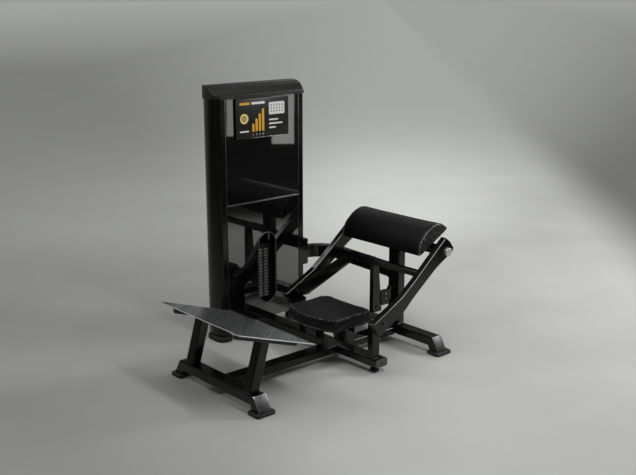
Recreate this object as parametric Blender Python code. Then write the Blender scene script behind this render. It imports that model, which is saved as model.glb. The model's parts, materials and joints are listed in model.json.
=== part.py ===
"""Glute machine with a weight stack: every piece as its own solid, in metres, +Z up.

The working frame stands on the floor under the seat's middle line: +X is the sitter's side
away from the weight tower, +Y runs from the foot plate to the back pad. At the end everything
hangs on one empty that puts the origin at the bottom centre of the whole machine's box.
"""

import math

import bmesh
import bpy
from mathutils import Vector

# Fits
SEAT_GAP = 0.0003
RUN_GAP = 0.0015
BORE_GAP = 0.0006
SLIDE_GAP = 0.0012
CUT_PAST = 0.010
SMALL_EDGE = 0.003

# Main places: the arms' pivot, the front beam and the seat's height lead the rest
PIVOT_Y = 0.638
PIVOT_Z = 0.690
HOUSING_HALF_LENGTH = 0.386
BUSH_FLANGE_LENGTH = 0.0055
ARM_INNER_X = HOUSING_HALF_LENGTH + BUSH_FLANGE_LENGTH + RUN_GAP

# Where the arms' pegs rest, on posts
PEG_AHEAD = 0.563
PEG_DROP = 0.357
PEG_Y = PIVOT_Y - PEG_AHEAD
PEG_Z = PIVOT_Z - PEG_DROP
PEG_RADIUS = 0.015
PEG_REACH = 0.058
PEG_ROOT = 0.010
POST_FROM_ARM = 0.043
POST_X = ARM_INNER_X - POST_FROM_ARM
POST_WIDTH = 0.050
POST_DEPTH = 0.060
POST_ROUND = 0.006
WEDGE_DROP = 0.067
WEDGE_HEIGHT = 0.042
WEDGE_REACH = 0.126
WEDGE_TIP_DROP = 0.055
WEDGE_TIP_HEIGHT = 0.004
WEDGE_SHOULDER = 0.030
WEDGE_DEPTH = 0.024

# Floor beams
BEAM_TOP = 0.108
BEAM_HEIGHT = 0.060
BEAM_ROUND = 0.007
TUBE_DROP = 0.016
TUBE_TOP = BEAM_TOP - TUBE_DROP
TUBE_HEIGHT = 0.051
PAD_HEIGHT = 0.021
PAD_ROUND = 0.020
PAD_EDGE = 0.004
FOOT_BLOCK = 0.078
FOOT_NECK = 0.006
FRONT_BEAM_Y = -0.840
FRONT_BEAM_WIDTH = 0.090
FRONT_BEAM_REACH = 0.368
FRONT_END_SLOPE = 0.056
FRONT_PAD_LENGTH = 0.105
FRONT_PAD_WIDTH = 0.135
FRONT_PAD_OUT = 0.0035
REAR_BEAM_AHEAD = 0.021
REAR_BEAM_Y = PIVOT_Y - REAR_BEAM_AHEAD
REAR_BEAM_WIDTH = 0.088
REAR_BEAM_REACH = 0.385
REAR_END_SLOPE = 0.052
REAR_PAD_LENGTH = 0.105
REAR_PAD_WIDTH = 0.140
REAR_PAD_OUT = 0.0145
MAIN_BEAM_WIDTH = 0.096
MID_BEAM_BEHIND_PEG = 0.016
MID_BEAM_Y = PEG_Y + MID_BEAM_BEHIND_PEG
MID_BEAM_WIDTH = 0.098
MID_BEAM_PAST_POST = 0.053
MID_BEAM_REACH = POST_X + MID_BEAM_PAST_POST
MID_CAP_LENGTH = 0.006
MID_CAP_ROUND = 0.014
MID_FOOT_INSET = 0.057
MID_FOOT_RADIUS = 0.028
MID_STEM_RADIUS = 0.014
MID_FOOT_EDGE = 0.002
MID_FOOT_HEIGHT = 0.016
MID_FOOT_NECK_Z = 0.022

# Foot plate and its legs
PLATE_HALF_WIDTH = 0.402
PLATE_AHEAD = 0.154
PLATE_BEHIND = 0.384
PLATE_FRONT_Y = FRONT_BEAM_Y - PLATE_AHEAD
PLATE_REAR_Y = FRONT_BEAM_Y + PLATE_BEHIND
PLATE_FRONT_Z = 0.505
PLATE_REAR_Z = 0.325
PLATE_THICKNESS = 0.005
PLATE_EDGE = 0.0012
RAIL_HEIGHT = 0.025
RAIL_WIDTH = 0.022
RAIL_LEFT_X = -0.228
RAIL_RIGHT_X = 0.358
RAIL_PAST_PLATE = 0.004
RAIL_SHORT_OF_PLATE = 0.104
LEG_LEFT_X = -0.275
LEG_RIGHT_X = 0.303
LEG_WIDTH = 0.068
LEG_DEPTH = 0.070
LEG_INSET = 0.002
LEG_LEAN = 0.293
LEG_ROUND = 0.007

# Upright, pivot and stop
UPRIGHT_HALF_WIDTH = 0.050
UPRIGHT_AHEAD = 0.038
UPRIGHT_BEHIND = 0.027
UPRIGHT_FRONT_Y = PIVOT_Y - UPRIGHT_AHEAD
UPRIGHT_REAR_Y = PIVOT_Y + UPRIGHT_BEHIND
UPRIGHT_ROUND = 0.010
HOUSING_RADIUS = 0.034
SADDLE_DEPTH = 0.018
BUSH_LENGTH = 0.030
BUSH_RADIUS = 0.024
BUSH_FLANGE_RADIUS = 0.029
SHAFT_RADIUS = 0.015
CAP_RADIUS = 0.028
CAP_HEIGHT = 0.018
STOP_HALF_WIDTH = 0.020
STOP_AHEAD = 0.134
STOP_DEPTH = 0.076
STOP_DROP = 0.408
STOP_HEIGHT = 0.075
STOP_FRONT_Y = UPRIGHT_FRONT_Y - STOP_AHEAD
STOP_REAR_Y = STOP_FRONT_Y + STOP_DEPTH
STOP_LOW_Z = PIVOT_Z - STOP_DROP
STOP_HIGH_Z = STOP_LOW_Z + STOP_HEIGHT
STOP_BRACKET_HALF_WIDTH = 0.012
STOP_BRACKET_DEPTH = 0.024
STOP_BRACKET_RISE = 0.068
STOP_BRACKET_ROOT = 0.075
STOP_BACK_DROP = 0.006
STOP_HEEL_GAP = 0.006

# Movement arm: outline from the pivot as (y, z, corner radius)
ARM_THICKNESS = 0.045
ARM_ROUND = 0.005
ARM_OUTLINE = (
    (-0.657, -0.347, 0.008),
    (-0.402, -0.220, 0.120),
    (-0.290, -0.135, 0.300),
    (-0.014, 0.095, 0.008),
    (0.027, 0.063, 0.020),
    (0.063, 0.016, 0.008),
    (0.057, -0.005, 0.008),
    (-0.095, -0.088, 0.300),
    (-0.308, -0.250, 0.300),
    (-0.390, -0.325, 0.200),
    (-0.596, -0.432, 0.008),
)
CROSSBAR_AHEAD = 0.236
CROSSBAR_DROP = 0.092
CROSSBAR_FRONT_Y = PIVOT_Y - CROSSBAR_AHEAD
CROSSBAR_TOP = PIVOT_Z - CROSSBAR_DROP
CROSSBAR_DEPTH = 0.048
CROSSBAR_HEIGHT = 0.042
CROSSBAR_STEP = 0.004
CROSSBAR_ROUND = 0.007
LEVER_LEFT_X = -0.020
LEVER_RIGHT_X = 0.013
LEVER_FOOT_DROP = 0.057
LEVER_FOOT_Z = STOP_LOW_Z - LEVER_FOOT_DROP
LEVER_ELBOW_RADIUS = 0.048
LEVER_INNER_RADIUS = 0.010
LEVER_EDGE = 0.004
LEVER_STOP_MARGIN = 0.004
LEVER_HEEL_DEPTH = 0.013
LEVER_HEEL_DROP = 0.027
LEVER_HEEL_Y = STOP_FRONT_Y + LEVER_HEEL_DEPTH
LEVER_HEEL_Z = STOP_LOW_Z - LEVER_HEEL_DROP
BRACE_END_X = -0.235
BRACE_DEPTH = 0.050
BRACE_ROOT_LOW = (0.068, -0.026)
BRACE_ROOT_HIGH = (-0.009, 0.052)
BRACE_END_LOW = (-0.017, -0.079)

# Seat
SEAT_HALF_WIDTH = 0.238
SEAT_REAR_Y = 0.200
SEAT_CORNER_Y = -0.133
SEAT_BOW = 0.066
SEAT_LOW_Z = 0.268
SEAT_THICKNESS = 0.072
SEAT_CROWN = 0.012
SEAT_CORNER_ROUND = 0.032
SEAT_REAR_ROUND = 0.060
SEAT_DRAW_IN = 0.006
SEAT_SMALLEST_TURN = 0.012
SEAT_EDGE_ROUND = 0.006
SEAT_SIDE_DIP = 0.004
SEAT_BOW_STEPS = 8
CROWN_SHARES = (0.90, 0.76, 0.58, 0.38, 0.16)
SEAT_BOARD_HEIGHT = 0.015
SEAT_BOARD_INSET = 0.030
GUSSET_RIGHT_X = 0.182
GUSSET_THICKNESS = 0.030
GUSSET_BACK_Y = PEG_Y - WEDGE_DEPTH / 2 - RUN_GAP
GUSSET_TOE_LENGTH = 0.0175
GUSSET_TOP_LENGTH = 0.1665
GUSSET_CURVE_IN = 0.012
GUSSET_CURVE_DROP = 0.045
GUSSET_CURVE_RADIUS = 0.060
GUSSET_LEFT_X = -0.200
GUSSET_LEFT_HALF_WIDTH = 0.025
GUSSET_LEFT_ROUND = 0.005
GUSSET_LEFT_DEPTH = 0.035
GUSSET_LEFT_INSET = 0.065

# Back pad: half an ellipse over a straight chord, its ends given from the pivot
CHORD_LOW = (-0.167, -0.023)
CHORD_HIGH = (0.096, 0.123)
BACK_PAD_RISE = 0.112
BACK_PAD_SIDE_GAP = 0.039
BACK_PAD_HALF_WIDTH = ARM_INNER_X - BACK_PAD_SIDE_GAP
BACK_PAD_END_CROWN = 0.004
BACK_PAD_CORNER = 0.006
BACK_PAD_STEPS = 22
BACK_PAD_DIP = 0.0015
BACK_BOARD_HEIGHT = 0.014
BACK_BOARD_INSET = 0.022
SADDLE_X = 0.200
SADDLE_WIDTH = 0.040
SADDLE_LENGTH = 0.080
SADDLE_WRAP = 0.017

# Tower
TOWER_FRONT_X = -0.689
TOWER_DEPTH = 0.176
TOWER_Y = 0.040
COLUMN_INNER = 0.312
COLUMN_FACE = 0.035
COLUMN_BULGE = 0.033
COLUMN_STEPS = 12
TOWER_FOOT_HEIGHT = 0.030
TOWER_FOOT_LENGTH = 0.190
TOWER_FOOT_WIDTH = 0.122
TOWER_FOOT_SETBACK = 0.068
TOWER_FOOT_OUT = 0.0275
TOWER_FOOT_ROUND = 0.055
TOWER_FOOT_EDGE = 0.006
HOOD_LOW_Z = 1.632
HOOD_LIP = 0.009
HOOD_LIP_HEIGHT = 0.018
HOOD_OVERHANG = 0.006
HOOD_LIP_EDGE = 0.004
HOOD_CURVE = ((0.028, 0.023, 0.030), (0.068, 0.061, 0.040), (0.117, 0.085, 0.060))
HOOD_BACK_ROUND = 0.016
PANEL_THICKNESS = 0.004
PANEL_SEAM_Z = 0.930
PANEL_OVER_BEAM = 0.007
PANEL_LOW_Z = TUBE_TOP + PANEL_OVER_BEAM
PANEL_RECESS = 0.002
SEAM_GAP = 0.002
SLOT_Y = 0.062
SLOT_HALF_WIDTH = 0.0785
SLOT_LOW_Z = 0.200
SLOT_HIGH_Z = 0.708
TRIM_WIDTH = 0.008
TRIM_HEIGHT = 0.005
TRIM_EDGE = 0.002
TRIM_CHAMFER = 0.2
BASE_HEIGHT = 0.012
BASE_INSET = 0.010

# Weight stack
STACK_Y = SLOT_Y
STACK_SETBACK = 0.046
STACK_FRONT_X = TOWER_FRONT_X - STACK_SETBACK
STACK_DEPTH = 0.100
STACK_HALF_WIDTH = 0.130
STACK_LOW_Z = 0.231
PLATE_PITCH = 0.022
PLATE_GROOVE = 0.001
GROOVE_DEPTH = 0.003
LOWER_PLATES = 12
LIFTED_PLATES = 4
HEAD_PLATE_HEIGHT = 0.030
HEAD_PLATE_ROUND = 0.010
RISER_HALF_WIDTH = 0.115
RISER_DEPTH = 0.070
ROD_RADIUS = 0.009
ROD_SPREAD = 0.090
STEM_RADIUS = 0.012
STEM_RISE = 0.055
STEM_FOOT = 0.004
STEM_TIP = 0.012
STEM_TIP_RADIUS = 0.0066
PIN_RADIUS = 0.004
PIN_EDGE = 0.001
PIN_REACH = 0.002
PIN_KNOB_RADIUS = 0.009
PIN_KNOB_LENGTH = 0.016

# Cable and top pulley
CABLE_RADIUS = 0.003
BAR_LOW_Z = 1.355
BAR_HEIGHT = 0.034
BAR_DEPTH = 0.060
PULLEY_OVER_BAR = 0.115
PULLEY_Z = BAR_LOW_Z + PULLEY_OVER_BAR
PULLEY_RADIUS = 0.060
PULLEY_RIM = 0.007
PULLEY_RIM_FLAT = 0.002
PULLEY_WIDTH = 0.022
PULLEY_SIDES = 32
AXLE_RADIUS = 0.008
AXLE_END = 0.004
CHEEK_THICKNESS = 0.004
CHEEK_WIDTH = 0.044

# Tie tube between tower and upright
TIE_SETBACK = 0.046
TIE_START_X = TOWER_FRONT_X - TIE_SETBACK
TIE_FLANGE_BACK = 0.055
TIE_FLANGE_FRONT = 0.045
TIE_FLANGE_BELOW = 0.081
TIE_FLANGE_ABOVE = 0.104
TIE_FLANGE_HEIGHT = 0.012
TIE_INSET = 0.0225
TIE_Y = UPRIGHT_FRONT_Y + TIE_INSET
TIE_BEND_RADIUS = 0.180
TIE_WIDTH = 0.050
TIE_HEIGHT = 0.095
TIE_START_Z = 0.494
TIE_END_Z = 0.469
TIE_ROUND = 0.012
TIE_STEPS = 8

MARKER_SIZE = 0.1
SIDES = 24
SMALL_SIDES = 12
HOLE_SIDES = 8
ARC_STEP = math.radians(15)
SHARP = math.radians(35)

LEFT, RIGHT = -1, 1


def clear_scene():
    for obj in list(bpy.data.objects):
        bpy.data.objects.remove(obj, do_unlink=True)


def material(name, colour, roughness, metallic):
    made = bpy.data.materials.new(name)
    made.use_nodes = True
    shader = made.node_tree.nodes["Principled BSDF"]
    shader.inputs["Base Color"].default_value = (*colour, 1)
    shader.inputs["Roughness"].default_value = roughness
    shader.inputs["Metallic"].default_value = metallic
    return made


def make_materials():
    return {
        "paint": ((0.012, 0.012, 0.012), 0.30, 0.0),
        "gloss": ((0.008, 0.008, 0.009), 0.12, 0.0),
        "rubber": ((0.015, 0.015, 0.015), 0.80, 0.0),
        "cover": ((0.020, 0.022, 0.020), 0.65, 0.0),
        "tread": ((0.45, 0.46, 0.47), 0.35, 1.0),
        "steel": ((0.55, 0.55, 0.55), 0.25, 1.0),
        "iron": ((0.020, 0.020, 0.022), 0.55, 0.0),
        "cap": ((0.30, 0.31, 0.31), 0.45, 0.0),
        "bronze": ((0.45, 0.30, 0.12), 0.40, 1.0),
    }


def rounded(corners):
    """Outline points: a corner (a, b, radius) becomes an arc, a corner (a, b) stays."""
    points = []
    for i, corner in enumerate(corners):
        here = Vector(corner[:2])
        if len(corner) == 2:
            points.append(tuple(here))
            continue
        back = (Vector(corners[i - 1][:2]) - here).normalized()
        ahead = (Vector(corners[(i + 1) % len(corners)][:2]) - here).normalized()
        half = back.angle(ahead) / 2
        centre = here + (back + ahead).normalized() * corner[2] / math.sin(half)
        start = here + back * corner[2] / math.tan(half) - centre
        sweep = start.angle_signed(here + ahead * corner[2] / math.tan(half) - centre)
        steps = max(1, round(abs(sweep) / ARC_STEP))
        for k in range(steps + 1):
            turn = -sweep * k / steps
            cosine, sine = math.cos(turn), math.sin(turn)
            x = centre.x + start.x * cosine - start.y * sine
            y = centre.y + start.x * sine + start.y * cosine
            points.append((x, y))
    return points


def rectangle(low_a, high_a, low_b, high_b, radius=None):
    corners = ((low_a, low_b), (high_a, low_b), (high_a, high_b), (low_a, high_b))
    if radius is None:
        return list(corners)
    return rounded([(*corner, radius) for corner in corners])


def stadium(centre, half_width, low, high):
    """Upright slot with round ends."""
    left, right = centre - half_width, centre + half_width
    radius = half_width * 0.999
    return rectangle(left, right, low, high, radius)


def add_object(name, mesh_maker, finish):
    bmesh.ops.recalc_face_normals(mesh_maker, faces=mesh_maker.faces)
    mesh = bpy.data.meshes.new(name)
    mesh_maker.to_mesh(mesh)
    mesh_maker.free()
    mesh.shade_smooth()
    mesh.set_sharp_from_angle(angle=SHARP)
    if finish:
        mesh.materials.append(finish)
    obj = bpy.data.objects.new(name, mesh)
    bpy.context.scene.collection.objects.link(obj)
    return obj


def lofted(name, rings, finish=None, closed=False):
    """Skin over rings of the same number of points: capped at both ends, or closed on itself."""
    maker = bmesh.new()
    rows = [[maker.verts.new(point) for point in ring] for ring in rings]
    pairs = list(zip(rows, rows[1:]))
    if closed:
        pairs.append((rows[-1], rows[0]))
    else:
        maker.faces.new(rows[0])
        maker.faces.new(rows[-1])
    for first, second in pairs:
        for i in range(len(first)):
            maker.faces.new((first[i - 1], first[i], second[i], second[i - 1]))
    return add_object(name, maker, finish)


def in_space(axis, a, b, along):
    return {"X": (along, a, b), "Y": (a, along, b), "Z": (a, b, along)}[axis]


def prism(name, outline, axis, low, high, finish=None):
    """An outline pushed along an axis. It is given as (y, z) for X, (x, z) for Y, (x, y) for Z."""
    rings = [[in_space(axis, a, b, end) for a, b in outline] for end in (low, high)]
    return lofted(name, rings, finish)


def turned(name, profile, axis, centre, finish=None, sides=SIDES, bored=False):
    """A turned shape: profile of (radius, place along the axis), centre as (a, b) across it."""
    rings = []
    for radius, along in profile:
        ring = []
        for i in range(sides):
            angle = 2 * math.pi * (i + 0.5) / sides
            a = centre[0] + radius * math.cos(angle)
            b = centre[1] + radius * math.sin(angle)
            ring.append(in_space(axis, a, b, along))
        rings.append(ring)
    return lofted(name, rings, finish, closed=bored)


def bar(name, radius, axis, centre, low, high, finish=None, sides=SIDES):
    return turned(name, ((radius, low), (radius, high)), axis, centre, finish, sides)


def round_edges(obj, width, segments=2):
    bevel = obj.modifiers.new("round edges", "BEVEL")
    bevel.width = width
    bevel.segments = segments
    bevel.limit_method = "ANGLE"
    bevel.angle_limit = math.radians(50)
    return obj


def combine(obj, other, operation):
    """Adds a Boolean whose other shape hangs under the object, so that both move together."""
    other.parent = obj
    other.hide_render = True
    other.display_type = "WIRE"
    boolean = obj.modifiers.new(other.name, "BOOLEAN")
    boolean.operation = operation
    boolean.solver = "EXACT"
    boolean.object = other
    return obj


def cut(obj, other):
    return combine(obj, other, "DIFFERENCE")


def fuse(obj, other):
    return combine(obj, other, "UNION")


def side_name(side):
    return "left" if side == LEFT else "right"


def beam_outline(reach, slope):
    """Long view of a foot beam: flat top, ends that slant out and down to a foot block."""
    low = PAD_HEIGHT + SEAT_GAP
    bottom = BEAM_TOP - BEAM_HEIGHT
    toe = reach + slope
    inner = toe - FOOT_BLOCK
    right = [(reach, BEAM_TOP), (toe, low), (inner, low), (inner - FOOT_NECK, bottom)]
    return right + [(-a, b) for a, b in reversed(right)]


def foot_pad(name, x, y, length, width, finish):
    outline = rectangle(x - length / 2, x + length / 2, y - width / 2, y + width / 2, PAD_ROUND)
    pad = prism(name, outline, "Z", 0, PAD_HEIGHT, finish)
    return round_edges(pad, PAD_EDGE, 1)


def make_floor_frame(looks):
    paint, rubber = looks["paint"], looks["rubber"]
    pieces = []
    beams = (
        ("front", FRONT_BEAM_Y, FRONT_BEAM_WIDTH, FRONT_BEAM_REACH, FRONT_END_SLOPE,
         FRONT_PAD_LENGTH, FRONT_PAD_WIDTH, FRONT_PAD_OUT),
        ("rear", REAR_BEAM_Y, REAR_BEAM_WIDTH, REAR_BEAM_REACH, REAR_END_SLOPE,
         REAR_PAD_LENGTH, REAR_PAD_WIDTH, REAR_PAD_OUT),
    )
    for name, y, width, reach, slope, pad_length, pad_width, pad_out in beams:
        outline = beam_outline(reach, slope)
        beam = prism(f"{name}_foot_beam", outline, "Y", y - width / 2, y + width / 2, paint)
        pieces.append(round_edges(beam, BEAM_ROUND))
        pad_x = reach + slope - FOOT_BLOCK / 2 + pad_out
        for side in (LEFT, RIGHT):
            pad_name = f"{name}_pad_{side_name(side)}"
            pieces.append(foot_pad(pad_name, side * pad_x, y, pad_length, pad_width, rubber))

    low, high = TUBE_TOP - TUBE_HEIGHT, TUBE_TOP
    half = MAIN_BEAM_WIDTH / 2
    front = FRONT_BEAM_Y + FRONT_BEAM_WIDTH / 2 + SEAT_GAP
    rear = REAR_BEAM_Y - REAR_BEAM_WIDTH / 2 - SEAT_GAP
    section = rectangle(-half, half, low, high, BEAM_ROUND)
    pieces.append(prism("main_beam", section, "Y", front, rear, paint))

    near, far = MID_BEAM_Y - MID_BEAM_WIDTH / 2, MID_BEAM_Y + MID_BEAM_WIDTH / 2
    section = rectangle(near, far, low, high, BEAM_ROUND)
    side = half + SEAT_GAP
    tower_back = TOWER_FRONT_X - TOWER_DEPTH + PANEL_RECESS
    pieces.append(prism("mid_beam_right", section, "X", side, MID_BEAM_REACH, paint))
    pieces.append(prism("mid_beam_left", section, "X", tower_back, -side, paint))
    cap_start = MID_BEAM_REACH + SEAT_GAP
    section = rectangle(near, far, low, high, MID_CAP_ROUND)
    cap = prism("mid_beam_cap", section, "X", cap_start, cap_start + MID_CAP_LENGTH, looks["cap"])
    pieces.append(cap)
    foot_top = low - SEAT_GAP
    profile = (
        (MID_FOOT_RADIUS - MID_FOOT_EDGE, 0),
        (MID_FOOT_RADIUS, MID_FOOT_EDGE * 2),
        (MID_FOOT_RADIUS, MID_FOOT_HEIGHT),
        (MID_STEM_RADIUS, MID_FOOT_NECK_Z),
        (MID_STEM_RADIUS, foot_top),
    )
    place = (MID_BEAM_REACH - MID_FOOT_INSET, MID_BEAM_Y)
    pieces.append(turned("mid_beam_foot", profile, "Z", place, rubber))
    return pieces


def plate_surface(y):
    """Height of the foot plate's top face at y."""
    slope = (PLATE_REAR_Z - PLATE_FRONT_Z) / (PLATE_REAR_Y - PLATE_FRONT_Y)
    return PLATE_FRONT_Z + slope * (y - PLATE_FRONT_Y)


def plate_drop(depth):
    """The vertical distance that a thickness square to the foot plate takes."""
    slope = (PLATE_REAR_Z - PLATE_FRONT_Z) / (PLATE_REAR_Y - PLATE_FRONT_Y)
    return depth * math.sqrt(1 + slope * slope)


def slab_under_plate(front, rear, depth_low, depth_high):
    """(y, z) outline that lies square under the foot plate's face between two depths."""
    top, bottom = plate_drop(depth_high), plate_drop(depth_low)
    return [
        (front, plate_surface(front) - top),
        (rear, plate_surface(rear) - top),
        (rear, plate_surface(rear) - bottom),
        (front, plate_surface(front) - bottom),
    ]


def leg_top(y_at_floor_beam):
    """Where a leg's edge, leaning from the floor beam, meets the underside of the foot plate."""
    base = BEAM_TOP + SEAT_GAP
    slope = (PLATE_REAR_Z - PLATE_FRONT_Z) / (PLATE_REAR_Y - PLATE_FRONT_Y)
    under = plate_surface(y_at_floor_beam) - plate_drop(PLATE_THICKNESS + SEAT_GAP)
    rise = (under - base) / (1 - slope * LEG_LEAN)
    return y_at_floor_beam + LEG_LEAN * rise, base + rise


def make_foot_plate(looks):
    outline = slab_under_plate(PLATE_FRONT_Y, PLATE_REAR_Y, PLATE_THICKNESS, 0)
    plate = prism("foot_plate", outline, "X", -PLATE_HALF_WIDTH, PLATE_HALF_WIDTH, looks["tread"])
    pieces = [round_edges(plate, PLATE_EDGE, 1)]
    for side, rail_x, leg_x in ((LEFT, RAIL_LEFT_X, LEG_LEFT_X), (RIGHT, RAIL_RIGHT_X, LEG_RIGHT_X)):
        low = PLATE_THICKNESS + SEAT_GAP + RAIL_HEIGHT
        outline = slab_under_plate(PLATE_FRONT_Y - RAIL_PAST_PLATE, PLATE_REAR_Y - RAIL_SHORT_OF_PLATE,
                                   low, PLATE_THICKNESS + SEAT_GAP)
        rail = prism(f"plate_rail_{side_name(side)}", outline, "X", rail_x - RAIL_WIDTH / 2,
                     rail_x + RAIL_WIDTH / 2, looks["paint"])
        pieces.append(round_edges(rail, SMALL_EDGE, 1))
        toe = FRONT_BEAM_Y - FRONT_BEAM_WIDTH / 2 + LEG_INSET
        heel, base = toe + LEG_DEPTH, BEAM_TOP + SEAT_GAP
        outline = [(toe, base), (heel, base), leg_top(heel), leg_top(toe)]
        leg = prism(f"front_leg_{side_name(side)}", outline, "X", leg_x - LEG_WIDTH / 2,
                    leg_x + LEG_WIDTH / 2, looks["paint"])
        pieces.append(round_edges(leg, LEG_ROUND))
    return pieces


def make_posts(looks):
    pieces = []
    for side in (LEFT, RIGHT):
        name = f"side_post_{side_name(side)}"
        middle = side * POST_X
        section = rectangle(middle - POST_WIDTH / 2, middle + POST_WIDTH / 2,
                            PEG_Y - POST_DEPTH / 2, PEG_Y + POST_DEPTH / 2, POST_ROUND)
        top = PEG_Z - PEG_RADIUS - SEAT_GAP
        post = prism(name, section, "Z", TUBE_TOP + SEAT_GAP, top, looks["paint"])
        inside = side * (POST_X - POST_WIDTH / 4)
        face = side * (POST_X - POST_WIDTH / 2)
        tip, high = face - side * WEDGE_REACH, PEG_Z - WEDGE_DROP
        wedge = [
            (inside, high - WEDGE_HEIGHT),
            (inside, high),
            (face - side * WEDGE_SHOULDER, high),
            (tip, high - WEDGE_TIP_DROP + WEDGE_TIP_HEIGHT),
            (tip, high - WEDGE_TIP_DROP),
        ]
        brace = prism(f"{name}_wedge", wedge, "Y", PEG_Y - WEDGE_DEPTH / 2, PEG_Y + WEDGE_DEPTH / 2)
        pieces.append(fuse(post, brace))
    return pieces


def make_upright(looks):
    section = rectangle(-UPRIGHT_HALF_WIDTH, UPRIGHT_HALF_WIDTH, UPRIGHT_FRONT_Y, UPRIGHT_REAR_Y,
                        UPRIGHT_ROUND)
    upright = prism("upright", section, "Z", BEAM_TOP + SEAT_GAP,
                    PIVOT_Z - HOUSING_RADIUS + SADDLE_DEPTH, looks["paint"])
    past = UPRIGHT_HALF_WIDTH + CUT_PAST
    cut(upright, bar("upright_saddle", HOUSING_RADIUS + SEAT_GAP, "X", (PIVOT_Y, PIVOT_Z), -past, past))

    bore = BUSH_RADIUS + SEAT_GAP
    ends = (-HOUSING_HALF_LENGTH, HOUSING_HALF_LENGTH)
    profile = [(HOUSING_RADIUS, ends[0]), (HOUSING_RADIUS, ends[1]), (bore, ends[1]), (bore, ends[0])]
    centre = (PIVOT_Y, PIVOT_Z)
    housing = turned("pivot_housing", profile, "X", centre, looks["paint"], bored=True)

    pieces = [upright, housing]
    for side in (LEFT, RIGHT):
        inner = side * (HOUSING_HALF_LENGTH - BUSH_LENGTH)
        shoulder = side * (HOUSING_HALF_LENGTH + SEAT_GAP)
        face = side * (ARM_INNER_X - RUN_GAP)
        bore = SHAFT_RADIUS + SEAT_GAP
        profile = [(BUSH_RADIUS, inner), (BUSH_RADIUS, shoulder), (BUSH_FLANGE_RADIUS, shoulder),
                   (BUSH_FLANGE_RADIUS, face), (bore, face), (bore, inner)]
        name = f"pivot_bush_{side_name(side)}"
        pieces.append(turned(name, profile, "X", centre, looks["bronze"], bored=True))
    return pieces


def make_stop(looks):
    front = UPRIGHT_FRONT_Y - SEAT_GAP
    low, rear = STOP_LOW_Z - SEAT_GAP, STOP_REAR_Y + SEAT_GAP
    toe = LEVER_HEEL_Y + STOP_HEEL_GAP
    top = STOP_HIGH_Z + STOP_BRACKET_RISE
    outline = [
        (front, top),
        (front, top - STOP_BRACKET_ROOT),
        (STOP_REAR_Y, low - STOP_BRACKET_DEPTH),
        (toe, low - STOP_BRACKET_DEPTH),
        (toe, low),
        (rear, low),
        (rear, STOP_HIGH_Z - STOP_BACK_DROP),
    ]
    bracket = prism("stop_bracket", outline, "X", -STOP_BRACKET_HALF_WIDTH,
                    STOP_BRACKET_HALF_WIDTH, looks["paint"])
    outline = rectangle(STOP_FRONT_Y, STOP_REAR_Y, STOP_LOW_Z, STOP_HIGH_Z)
    bumper = prism("stop_bumper", outline, "X", -STOP_HALF_WIDTH, STOP_HALF_WIDTH, looks["rubber"])
    return [bracket, round_edges(bumper, SMALL_EDGE)]


def make_arms(looks):
    pieces = []
    outline = rounded([(PIVOT_Y + y, PIVOT_Z + z, radius) for y, z, radius in ARM_OUTLINE])
    for side in (LEFT, RIGHT):
        name = f"arm_{side_name(side)}"
        inner, outer = side * ARM_INNER_X, side * (ARM_INNER_X + ARM_THICKNESS)
        low, high = min(inner, outer), max(inner, outer)
        arm = round_edges(prism(name, outline, "X", low, high, looks["paint"]), ARM_ROUND)
        tip, root = side * (ARM_INNER_X - PEG_REACH), side * (ARM_INNER_X + PEG_ROOT)
        peg = bar(f"{name}_peg", PEG_RADIUS, "X", (PEG_Y, PEG_Z), min(tip, root), max(tip, root))
        fuse(arm, peg)
        bore = bar(f"{name}_bore", SHAFT_RADIUS + SEAT_GAP, "X", (PIVOT_Y, PIVOT_Z),
                   low - CUT_PAST, high + CUT_PAST)
        pieces.append(cut(arm, bore))

    outside = ARM_INNER_X + ARM_THICKNESS
    centre = (PIVOT_Y, PIVOT_Z)
    pieces.append(bar("pivot_shaft", SHAFT_RADIUS, "X", centre, -outside, outside, looks["steel"]))
    for side in (LEFT, RIGHT):
        near, far = side * (outside + SEAT_GAP), side * (outside + CAP_HEIGHT)
        profile = ((CAP_RADIUS, near), (CAP_RADIUS, far - side * SMALL_EDGE),
                   (CAP_RADIUS - SMALL_EDGE, far))
        name = f"shaft_cap_{side_name(side)}"
        pieces.append(turned(name, profile, "X", centre, looks["steel"]))
    return pieces


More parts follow.
